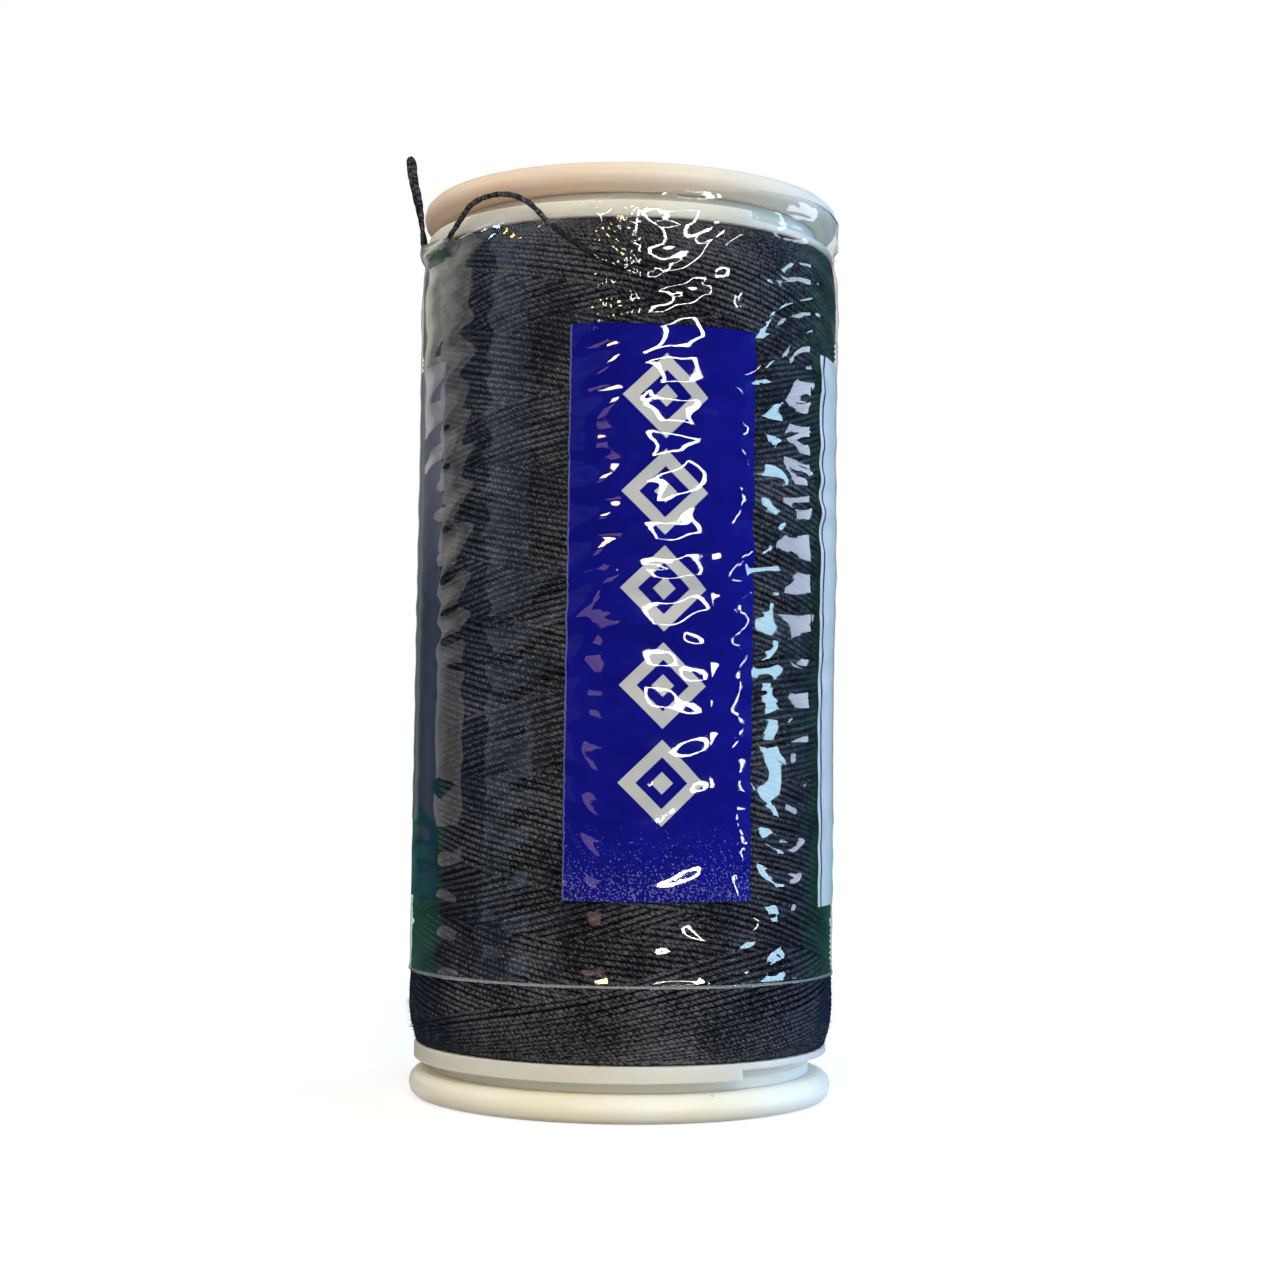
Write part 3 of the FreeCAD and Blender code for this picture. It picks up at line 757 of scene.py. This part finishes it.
def film_bearings():
    """Bearings of the film's columns, closer together at the front."""
    fine = np.linspace(-180 - LAP_HALF, 180 + LAP_HALF, 4000)
    crowd = np.cumsum(1 + CROWDING * hill(fine, *CROWDED))
    crowd = (crowd - crowd[0]) / (crowd[-1] - crowd[0])
    return np.radians(np.interp(np.linspace(0, 1, FILM_COLUMNS), crowd, fine))


def film_bead(bearing, radius, height, material):
    """The rounded lip that heat left along the film's lower edge."""
    line = around(bearing, radius, height)
    up = 0 * line + (0, 0, 1.0)
    points, faces = tube(line, outward(line), up, BEAD_RADIUS, BEAD_RADIUS, sides=8)
    new_piece("film_lip", points, faces, [material], "spool", "clear_film")


def film():
    bearing = film_bearings()
    foot, top = film_edge_heights(bearing)
    share = np.linspace(0, 1, FILM_ROWS)[:, None]
    height = foot + (top - foot) * share
    bearings = bearing + 0 * height
    degrees = np.degrees(bearings)
    places = around(bearings, FILM_RADIUS, height)

    # Snug over the winding, the flange and the upper rim, and never in them
    least = winding_surface(height)
    least = np.where(height > FLANGE_FROM * MM, np.maximum(least, FLANGE_RADIUS), least)
    least = np.where(height > RIM_FROM * MM, RIM_RADIUS, least) + FILM_CLEAR + FILM_THICKNESS
    standoff = film_standoff(places, bearings, height)
    radius = least + FILM_SOFTNESS * np.logaddexp(0, standoff / FILM_SOFTNESS)
    radius = np.minimum(radius, FILM_MOST)

    # At the lap one end lies over the other
    radius = radius + hill(np.abs(degrees), *CALM_REACH) * (least + CALM_STANDOFF - radius)
    radius = radius + LAP_STEP * hill(degrees, *LAP_REACH)
    # The cut lower edge turns out a little
    radius = radius + CURL_OUT * np.clip(1 - (height - foot) / CURL_HEIGHT, 0, 1) ** 2

    outer = around(bearings, radius, height)
    inner = around(bearings, radius - FILM_THICKNESS, height)
    count = FILM_ROWS * FILM_COLUMNS
    sheet = grid_faces(FILM_ROWS, FILM_COLUMNS)
    grid = np.arange(count).reshape(FILM_ROWS, FILM_COLUMNS)
    ring = np.concatenate([grid[0, :-1], grid[:-1, -1], grid[-1, :0:-1], grid[:0:-1, 0]]).tolist()
    edge = [[b, a, a + count, b + count] for a, b in zip(ring, ring[1:] + ring[:1])]
    faces = sheet.tolist() + (sheet[:, ::-1] + count).tolist() + edge
    points = np.concatenate([outer.reshape(-1, 3), inner.reshape(-1, 3)])
    clear = clear_film()
    piece = new_piece("film", points, faces, [clear, printed_film()], "spool", "clear_film")

    # The second material is on the inner side
    kinds = np.zeros(len(faces), np.int32)
    kinds[len(sheet):2 * len(sheet)] = 1
    piece.data.polygons.foreach_set("material_index", kinds)
    corner = np.zeros(len(piece.data.loops), np.int32)
    piece.data.loops.foreach_get("vertex_index", corner)
    flat = np.stack([degrees.ravel(), (height / MM).ravel()], axis=-1)
    write_map(piece, "print", flat[corner % count])
    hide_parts("film_sleeve")
    film_bead(bearing, radius[0] - FILM_THICKNESS / 2, foot, clear)


# Materials of the film. Their UV map "print" is a bearing in degrees and a height in millimetres.

FILM_IOR = 1.62
FILM_CLARITY = (0.965, 0.975, 0.975)
FILM_HAZE = (0.015, 0.07)
CREASE_DEPTH = 0.00013
BUSY_REACH, BUSY_SHARES = (30.0, 56.0, 8.0), (0.05, 0.7)
SPARKLE_REACH, SPARKLE_HEIGHTS, SPARKLE = (-9.0, 0.0, 2.5), (40.5, 48.0, 1.5), 0.75

# Blocks of ink: first and last bearing, foot and head
BLUE_BLOCK = (-15.0, 34.0, 11.1, 40.3)
PALE_BLOCK = (62.5, 150.0, 10.6, 40.0)
DARK_BLOCK = (-128.0, -57.5, 10.8, 39.2)
INK_RAGGEDNESS = 0.14
BLUE, BLUE_LIGHT = (0.0025, 0.0035, 0.15), (0.007, 0.008, 0.27)
# Painted glints: a pale line along the blue block's left edge, where the film lies on the thread
EDGE_PAINTED_GLINT, EDGE_PAINTED_GLINT_WIDTH, EDGE_PAINTED_GLINT_STRENGTH = (0.5, 0.5, 0.66), 0.4, 0.2
# Painted glints: pale specks at the blue block's foot, where the film lies on the thread
PAINTED_GLINTS, PAINTED_GLINTS_STRENGTH = (0.45, 0.45, 0.6), 0.30
PAINTED_GLINTS_FOOT, PAINTED_GLINTS_HEAD, PAINTED_GLINTS_SPARSENESS = 11.5, 15.0, (0.58, 0.74)
LOZENGE_GREYS = (0.47, 0.62)
LOZENGE_BEARING, LOZENGE_HALF = 9.5, 11.0
LOZENGES_FOOT, LOZENGES_HEAD, LOZENGE_PITCH = 14.6, 39.1, 4.9
LOZENGE_STEEPNESS, LOZENGE_RING, LOZENGE_CORE = 2.25, (0.60, 1.0), 0.26
PAPER, PAPER_LIGHT = (0.66, 0.655, 0.635), (0.80, 0.79, 0.745)
RULE = (0.03, 0.045, 0.16)
RULE_BEARINGS = [(64.4, 65.6), (146.4, 147.6)]
DASH_BEARINGS, DASH_HEIGHTS, DASH_PITCH, DASH_GAP = (82.0, 84.0), (15.6, 34.8), 1.3, 0.4
NAVY, LILAC, NAVY_TO_LILAC = (0.006, 0.010, 0.055), (0.13, 0.12, 0.20), (27.5, 35.0)

# Film strained white on the left below its torn edge, and painted paler at the torn corner
STRAINED = (0.62, 0.66, 0.60)
STRAINED_HEIGHTS, STRAINED_SHARES, STRAINED_START = (40.6, 46.4), (0.12, 0.62), (39.0, 39.6)
STRAINED_LEFT, STRAINED_RIGHT = (-124.0, -104.0), (-68.0, -45.0)
CORNER_HEIGHTS, CORNER_RIGHT, CORNER_SHARE = (45.0, 45.6), (-70.0, -58.0), 0.6
LIP_HEIGHT, LIP_SHARE = 0.14, 0.30


def clear_film():
    """Thin glossy film, which shows what is behind it, with fine creases."""
    nodes = Nodes("clear_film")
    place = nodes.place()
    bearing, height = nodes.parts(nodes.add("UVMap", uv_map="print").outputs[0])[:2]

    long_place = nodes.stretched(place, (1.0, 1.0, 2.1))
    waves = nodes.noise(long_place, 430.0, 0.5)
    ridge = nodes.math("SUBTRACT", nodes.noise(long_place, 260.0, 0.0), 0.5)
    ridge = nodes.spread(nodes.math("ABSOLUTE", ridge), 0.0, 0.11, 1.0, 0.0)
    busy = nodes.spread(nodes.between(bearing, *BUSY_REACH), 0.0, 1.0, *BUSY_SHARES)
    relief = nodes.product(nodes.math("MULTIPLY_ADD", ridge, 0.16, waves), busy)
    grains = nodes.product(nodes.between(bearing, *SPARKLE_REACH),
                           nodes.between(height, *SPARKLE_HEIGHTS),
                           nodes.noise(place, 2300.0, 0.0))
    creased = nodes.bump(nodes.math("MULTIPLY_ADD", grains, SPARKLE, relief), CREASE_DEPTH)

    facing = nodes.math("SUBTRACT", 1.0, nodes.add("NewGeometry").outputs["Backfacing"])
    shine = nodes.add("Fresnel", {"IOR": FILM_IOR, "Normal": creased}).outputs[0]
    haze = nodes.spread(nodes.noise(place, 700.0, 3.0), 0.35, 0.7, *FILM_HAZE)
    clear = nodes.add("BsdfTransparent", {"Color": FILM_CLARITY})
    gloss = nodes.add("BsdfGlossy", {"Color": grey(1.0), "Roughness": haze, "Normal": creased})
    return nodes.done(nodes.mixed(nodes.product(shine, facing), clear, gloss))


def printed_film():
    """The film's inner side: clear, with blocks of ink."""
    nodes = Nodes("printed_film")
    place = nodes.place()
    bearing, height = nodes.parts(nodes.add("UVMap", uv_map="print").outputs[0])[:2]
    ragged = nodes.spread(nodes.noise(place, 4200.0), 0.3, 0.7, -INK_RAGGEDNESS, INK_RAGGEDNESS)
    upright = nodes.math("ADD", bearing, ragged)
    mottle = nodes.noise(place, 420.0, 3.0)

    def block(across, left, right, low, high):
        return nodes.product(nodes.inside(across, left, right), nodes.inside(height, low, high))

    # The blue block, with a column of plain lozenges, and painted glints at its foot and along its
    # left edge
    blue_block = block(upright, *BLUE_BLOCK)
    blue = nodes.blend(mottle, BLUE, BLUE_LIGHT)
    aside = nodes.math("DIVIDE", nodes.math("SUBTRACT", bearing, LOZENGE_BEARING), LOZENGE_HALF)
    repeat = nodes.math("FRACT", nodes.math("DIVIDE", nodes.math(
        "SUBTRACT", height, LOZENGES_FOOT), LOZENGE_PITCH))
    above = nodes.product(nodes.math("SUBTRACT", repeat, 0.5), LOZENGE_STEEPNESS)
    size = nodes.math("ADD", nodes.math("ABSOLUTE", aside), nodes.math("ABSOLUTE", above))
    figure = nodes.math("MAXIMUM", nodes.inside(size, *LOZENGE_RING),
                        nodes.math("LESS_THAN", size, LOZENGE_CORE))
    figure = nodes.product(figure, nodes.inside(height, LOZENGES_FOOT, LOZENGES_HEAD))
    blue = nodes.blend(figure, blue, nodes.blend(mottle, *map(grey, LOZENGE_GREYS)))
    # Painted glints: pale specks at the foot of the blue block, where the film lies on the thread
    painted_glints = nodes.math("GREATER_THAN", nodes.noise(place, 9000.0, 1.0, 0.6),
                      nodes.spread(height, PAINTED_GLINTS_FOOT, PAINTED_GLINTS_HEAD, *PAINTED_GLINTS_SPARSENESS))
    painted_glints = nodes.product(painted_glints, nodes.math("LESS_THAN", height, PAINTED_GLINTS_HEAD), PAINTED_GLINTS_STRENGTH)
    blue = nodes.blend(painted_glints, blue, PAINTED_GLINTS)
    # Painted glints along the blue block's left edge
    edge_painted_glint = nodes.inside(upright, BLUE_BLOCK[0], BLUE_BLOCK[0] + EDGE_PAINTED_GLINT_WIDTH)
    blue = nodes.blend(nodes.product(edge_painted_glint, EDGE_PAINTED_GLINT_STRENGTH), blue, EDGE_PAINTED_GLINT)

    # The pale block on the right, with a line along each side and short dashes
    pale_block = block(bearing, *PALE_BLOCK)
    paper = nodes.blend(mottle, PAPER, PAPER_LIGHT)
    rule = nodes.math("MAXIMUM", *[nodes.inside(bearing, *reach) for reach in RULE_BEARINGS])
    repeat = nodes.math("FRACT", nodes.math("DIVIDE", height, DASH_PITCH))
    dash = nodes.product(nodes.math("GREATER_THAN", repeat, DASH_GAP),
                         nodes.inside(height, *DASH_HEIGHTS),
                         nodes.inside(bearing, *DASH_BEARINGS))
    paper = nodes.blend(nodes.math("MAXIMUM", rule, dash), paper, RULE)

    # The shaded block on the left: lilac grey above, navy below
    dark_block = block(bearing, *DARK_BLOCK)
    fall = nodes.spread(nodes.math("MULTIPLY_ADD", mottle, 3.0, height), *NAVY_TO_LILAC)
    shaded = nodes.blend(fall, NAVY, LILAC)

    colour = nodes.blend(pale_block, blue, paper)
    colour = nodes.blend(dark_block, colour, shaded)
    inked = nodes.math("MAXIMUM", blue_block, nodes.math("MAXIMUM", pale_block, dark_block))

    # The strained film on the left, in streaks, and the pale lower edge
    streaks = nodes.noise(nodes.stretched(place, (1.0, 1.0, 3.5)), 330.0, 2.0, 0.6)
    strained = nodes.product(nodes.spread(height, *STRAINED_HEIGHTS, *STRAINED_SHARES),
                             nodes.spread(streaks, 0.38, 0.60, 0.25, 1.0),
                             nodes.spread(bearing, *STRAINED_RIGHT, 1.0, 0.0),
                             nodes.spread(height, *STRAINED_START))
    # Paler at the torn corner
    corner = nodes.product(nodes.spread(height, *CORNER_HEIGHTS, 0.0, CORNER_SHARE),
                           nodes.spread(bearing, *CORNER_RIGHT, 1.0, 0.0))
    strained = nodes.product(nodes.math("MAXIMUM", strained, corner),
                             nodes.spread(bearing, *STRAINED_LEFT))
    lip = nodes.math("LESS_THAN", height, film_low.z / MM + LIP_HEIGHT)
    strained = nodes.math("MAXIMUM", strained, nodes.product(lip, LIP_SHARE))
    colour = nodes.blend(inked, STRAINED, colour)
    clear = nodes.add("BsdfTransparent", {"Color": grey(1.0)})
    ink = nodes.add("BsdfDiffuse", {"Color": colour})
    return nodes.done(nodes.mixed(nodes.math("MAXIMUM", inked, strained), clear, ink))


film()


# Fuzz: short fibres that stand off the thread where no film holds them down

FIBRE_RADIUS, FIBRE_STEPS = 0.009 * MM, 5
FIBRE_TAPER, FIBRE_DRIFT, FIBRE_BEND = 0.75, 0.9, 0.6
FUZZ_FOOT_COUNT, FUZZ_FOOT_HEIGHTS = 1700, (0.05, 0.6, 3.7)
FUZZ_HEAD_COUNT, FUZZ_HEAD_DEPTHS = 460, (0.05, 0.3, 0.9)
FUZZ_LENGTHS, FUZZ_DEPTH = (0.12, 0.25, 0.75), 0.03 * MM
FUZZ_LEAN, FUZZ_SCATTER = 0.30, 0.30
TAIL_FUZZ_COUNT, TAIL_FUZZ_LENGTHS = 150, (0.1, 0.2, 0.6)
TAIL_FUZZ_ROOT, TAIL_FUZZ_THINNESS = 0.3, 0.8


def fibres(name, roots, ways, lengths, radius):
    """Thin bent fibres. ways are unit vectors at the roots."""
    tubes = []
    share = np.linspace(0, 1, FIBRE_STEPS)
    for root, way, length in zip(roots, ways, lengths):
        drift = unit(rng.normal(size=3)) * FIBRE_DRIFT
        line = root + length * (share[:, None] * way + share[:, None] ** 2 * drift * FIBRE_BEND)
        side, up = carried_frame(line)
        thin = radius * (1 - FIBRE_TAPER * share)
        tubes.append(tube(line, side, up, thin, thin, sides=3))
    new_piece(name, *joined(tubes), [fibre_material], "spool", "thread", smooth=False)


def winding_fuzz():
    height = np.concatenate([
        WINDING_FOOT + MM * rng.triangular(*FUZZ_FOOT_HEIGHTS, FUZZ_FOOT_COUNT),
        WINDING_HEAD - MM * rng.triangular(*FUZZ_HEAD_DEPTHS, FUZZ_HEAD_COUNT)])
    bearing = rng.uniform(-math.pi, math.pi, len(height))
    roots = around(bearing, winding_surface(height) - FUZZ_DEPTH, height)
    out = outward(roots)
    sideways = np.cross(out, (0, 0, 1.0)) * rng.choice([-1, 1], len(height))[:, None]
    lean = rng.uniform(0.25, 1.0, len(height))[:, None]
    scatter = rng.normal(size=roots.shape) * FUZZ_SCATTER
    ways = unit(sideways + out * lean * FUZZ_LEAN + scatter)
    lengths = MM * rng.triangular(*FUZZ_LENGTHS, len(height))
    fibres("winding_fuzz", roots, ways, lengths, FIBRE_RADIUS)


def tail_fuzz():
    chosen = rng.integers(5, len(tail_line) - 2, TAIL_FUZZ_COUNT)
    roots = tail_line[chosen]
    ways = unit(rng.normal(size=roots.shape))
    roots = roots + ways * TAIL_DIAMETER * TAIL_FUZZ_ROOT
    lengths = MM * rng.triangular(*TAIL_FUZZ_LENGTHS, TAIL_FUZZ_COUNT)
    fibres("thread_end_fuzz", roots, ways, lengths, FIBRE_RADIUS * TAIL_FUZZ_THINNESS)


winding_fuzz()
tail_fuzz()


# Stage: a pale floor, lamps, cards that only reflections show, and the camera

FLOOR_SIDE = 30.0
FLOOR_GREY = 0.42
FLOOR_LIFT = 0.68
SHADOW_REACH = (0.03, 0.14)


def floor():
    half = FLOOR_SIDE / 2
    mesh = bpy.data.meshes.new("floor")
    mesh.from_pydata([(-half, -half, 0), (half, -half, 0), (half, half, 0), (-half, half, 0)],
                     [], [(0, 1, 2, 3)])
    nodes = Nodes("floor")
    seen = nodes.seen()
    away = nodes.add("VectorMath", {0: nodes.place()}, operation="LENGTH").outputs["Value"]
    far = nodes.product(seen, nodes.spread(away, *SHADOW_REACH))
    matt = nodes.add("BsdfDiffuse", {"Color": grey(FLOOR_GREY)})
    glow = nodes.add("Emission", {"Color": grey(1.0),
                                  "Strength": nodes.product(seen, FLOOR_LIFT)})
    near = nodes.add("AddShader", {0: matt.outputs[0], 1: glow.outputs[0]})
    white = nodes.add("Emission", {"Color": grey(1.0), "Strength": 1.0})
    mesh.materials.append(nodes.done(nodes.mixed(far, near, white)))
    new_object("floor", mesh)


floor()

CARD_DISTANCE = 0.62
CARD_STEP = 6
CARD_UNEVENNESS = (0.45, 1.55)
CARD_HEIGHTS = (-0.5, 1.1)

CARD_BLACK = (0.028, 0.026, 0.026)

# Cards round the spool: first and last bearing, colour, and foot and head where it has its own
CARDS = [
    (-96, -79, (0.060, 0.080, 0.150)),
    (-79, -55, (0.40, 0.50, 0.70)),
    (-55, -26, (0.13, 0.13, 0.15)),
    (-26, -17, CARD_BLACK),
    (-17, -11, CARD_BLACK, -0.5, 0.03),
    (-17, -11, (1.8, 1.1, 1.0), 0.03, 0.13),
    (-17, -11, CARD_BLACK, 0.13, 1.1),
    (-11, 64, CARD_BLACK),
    (64, 76, (0.05, 0.07, 0.10)),
    (76, 117, (0.06, 0.11, 0.20)),
    (117, 150, (0.05, 0.14, 0.11)),
    (150, 205, (0.12, 0.14, 0.14)),
    (205, 211, (0.20, 0.22, 0.20)),
    (211, 240, (0.85, 0.81, 0.72), 0.125, 1.1),
    (211, 240, (0.12, 0.16, 0.15), -0.5, 0.125),
    (240, 264, (0.68, 0.67, 0.65)),
]

# Cards on the floor: first and last bearing, colour
FLOOR_CARDS = [
    (-80, -60, (0.10, 0.15, 0.21)),
    (-60, 104, (0.028, 0.027, 0.028)),
    (104, 165, (0.034, 0.160, 0.110)),
    (195, 252, (0.040, 0.160, 0.105)),
    (252, 280, (0.035, 0.038, 0.046)),
]
FLOOR_CARD_NEAR, FLOOR_CARD_LIFT = 0.016, 0.0004


def card(name, first, last, near, far, colour):
    """A sheet that only reflections show, from one bearing to another. near and far are the
    distance from the axis and the height of its two long edges."""
    steps = max(2, int((last - first) / CARD_STEP) + 1)
    bearing = np.radians(np.linspace(first, last, steps))
    rows = np.stack([around(bearing, *near), around(bearing, *far)])
    mesh = bpy.data.meshes.new(name)
    mesh.from_pydata(rows.reshape(-1, 3).tolist(), [], grid_faces(2, rows.shape[1]).tolist())
    nodes = Nodes(name)
    uneven = nodes.spread(nodes.noise(nodes.place(), 5.0), 0.32, 0.68, *CARD_UNEVENNESS)
    mesh.materials.append(nodes.done(nodes.add(
        "Emission", {"Color": colour, "Strength": uneven})))
    sheet = new_object(name, mesh)
    for ray in ("camera", "diffuse", "transmission", "volume_scatter", "shadow"):
        setattr(sheet, f"visible_{ray}", False)


for index, (first, last, colour, *heights) in enumerate(CARDS):
    foot, head = heights or CARD_HEIGHTS
    card(f"card_{index}", first, last, (CARD_DISTANCE, foot), (CARD_DISTANCE, head), colour)
for index, (first, last, colour) in enumerate(FLOOR_CARDS):
    card(f"floor_card_{index}", first, last, (FLOOR_CARD_NEAR, FLOOR_CARD_LIFT),
         (CARD_DISTANCE, FLOOR_CARD_LIFT), colour)


def lamp(name, at, size, radiance, colour, aim=0.024, mirrored=True, lighting=True):
    """A lamp that faces the axis at the height aim. at is its bearing in degrees, its distance
    from the axis and its height, and size its width and height."""
    bearing, distance, height = at
    data = bpy.data.lights.new(name, "AREA")
    data.shape = "RECTANGLE"
    data.size, data.size_y = size
    data.energy = radiance * math.pi * size[0] * size[1]
    data.color = colour
    light = new_object(name, data)
    angle = math.radians(bearing)
    light.location = (distance * math.sin(angle), -distance * math.cos(angle), height)
    towards = Vector((0, 0, aim)) - light.location
    light.rotation_mode = "QUATERNION"
    light.rotation_quaternion = towards.to_track_quat("-Z", "Y")
    light.visible_camera = False
    light.visible_glossy = mirrored
    light.visible_diffuse = lighting


# A lit frame at the front: two uprights, a sill and a head
FRAME_LEFT, FRAME_RIGHT = 16.0, 36.0
FRAME_SILL, FRAME_HEAD = 0.08, 0.40
FRAME_BAR = 0.019
FRAME_DISTANCE = 0.45
FRAME_RADIANCE = 27.0
FRAME_COLOUR = (1.0, 0.985, 0.95)


def lit_frame():
    middle = (FRAME_LEFT + FRAME_RIGHT) / 2
    wide = FRAME_DISTANCE * math.radians(FRAME_RIGHT - FRAME_LEFT)
    centre, tall = (FRAME_SILL + FRAME_HEAD) / 2, FRAME_HEAD - FRAME_SILL
    bars = {"left": (FRAME_LEFT, centre, (FRAME_BAR, tall)),
            "right": (FRAME_RIGHT, centre, (FRAME_BAR, tall)),
            "sill": (middle, FRAME_SILL, (wide, FRAME_BAR)),
            "head": (middle, FRAME_HEAD, (wide, FRAME_BAR))}
    for side, (bearing, height, size) in bars.items():
        lamp(f"frame_{side}", (bearing, FRAME_DISTANCE, height), size, FRAME_RADIANCE,
             FRAME_COLOUR, aim=height, lighting=False)


lit_frame()
lamp("high_window", at=(107, 0.50, 0.125), size=(0.160, 0.120),
     radiance=6.2, colour=(0.68, 0.78, 1.0), aim=0.12, lighting=False)
lamp("low_window", at=(82, 0.20, 0.0235), size=(0.027, 0.057),
     radiance=12.0, colour=(0.50, 0.80, 1.0), aim=0.0265)
lamp("low_slit", at=(62, 0.20, 0.0240), size=(0.006, 0.046),
     radiance=16.0, colour=(1.0, 1.0, 1.0))
lamp("sky", at=(105, 0.70, 0.20), size=(0.45, 0.60),
     radiance=6.6, colour=(0.12, 0.43, 1.0), aim=0.04, mirrored=False)
lamp("warm", at=(-15, 0.50, 0.235), size=(0.050, 0.10), radiance=28.0, colour=(1.0, 0.80, 0.48))
lamp("orange_spot", at=(-71, 0.50, 0.33), size=(0.020, 0.045),
     radiance=30.0, colour=(1.0, 0.48, 0.08))
lamp("blue_spot", at=(-89, 0.50, 0.33), size=(0.044, 0.090),
     radiance=24.0, colour=(0.45, 0.68, 1.0), lighting=False)
lamp("key", at=(5, 0.80, 0.62), size=(0.50, 0.50),
     radiance=6.6, colour=(1.0, 0.965, 0.91), mirrored=False)

WORLD_LEVEL = 0.50


def world():
    """White to the camera and in reflections, and dimmer as a light."""
    nodes = Nodes("studio", bpy.data.worlds)
    strength = nodes.spread(nodes.seen(), 0.0, 1.0, WORLD_LEVEL, 1.0)
    white = nodes.add("Background", {"Color": grey(1.0), "Strength": strength})
    bpy.context.scene.world = nodes.done(white, "OutputWorld")


world()

CAMERA_PLACE = Vector((0.0, -0.122652, 0.017759))
CAMERA_WAY = Vector((0.00659, 0.99829, 0.05807))
CAMERA_UP = Vector((-0.01368, -0.05797, 0.99822))
CAMERA_LENS = 62.25


def camera():
    data = bpy.data.cameras.new("camera")
    data.lens = CAMERA_LENS
    data.sensor_width = 36.0
    data.clip_start = 0.005
    eye = new_object("camera", data)
    right = CAMERA_WAY.cross(CAMERA_UP).normalized()
    up = right.cross(CAMERA_WAY).normalized()
    axes = Matrix((right, up, -CAMERA_WAY)).transposed()
    eye.matrix_world = Matrix.Translation(CAMERA_PLACE) @ axes.to_4x4()
    bpy.context.scene.camera = eye


camera()
bpy.context.scene.view_settings.view_transform = "Standard"
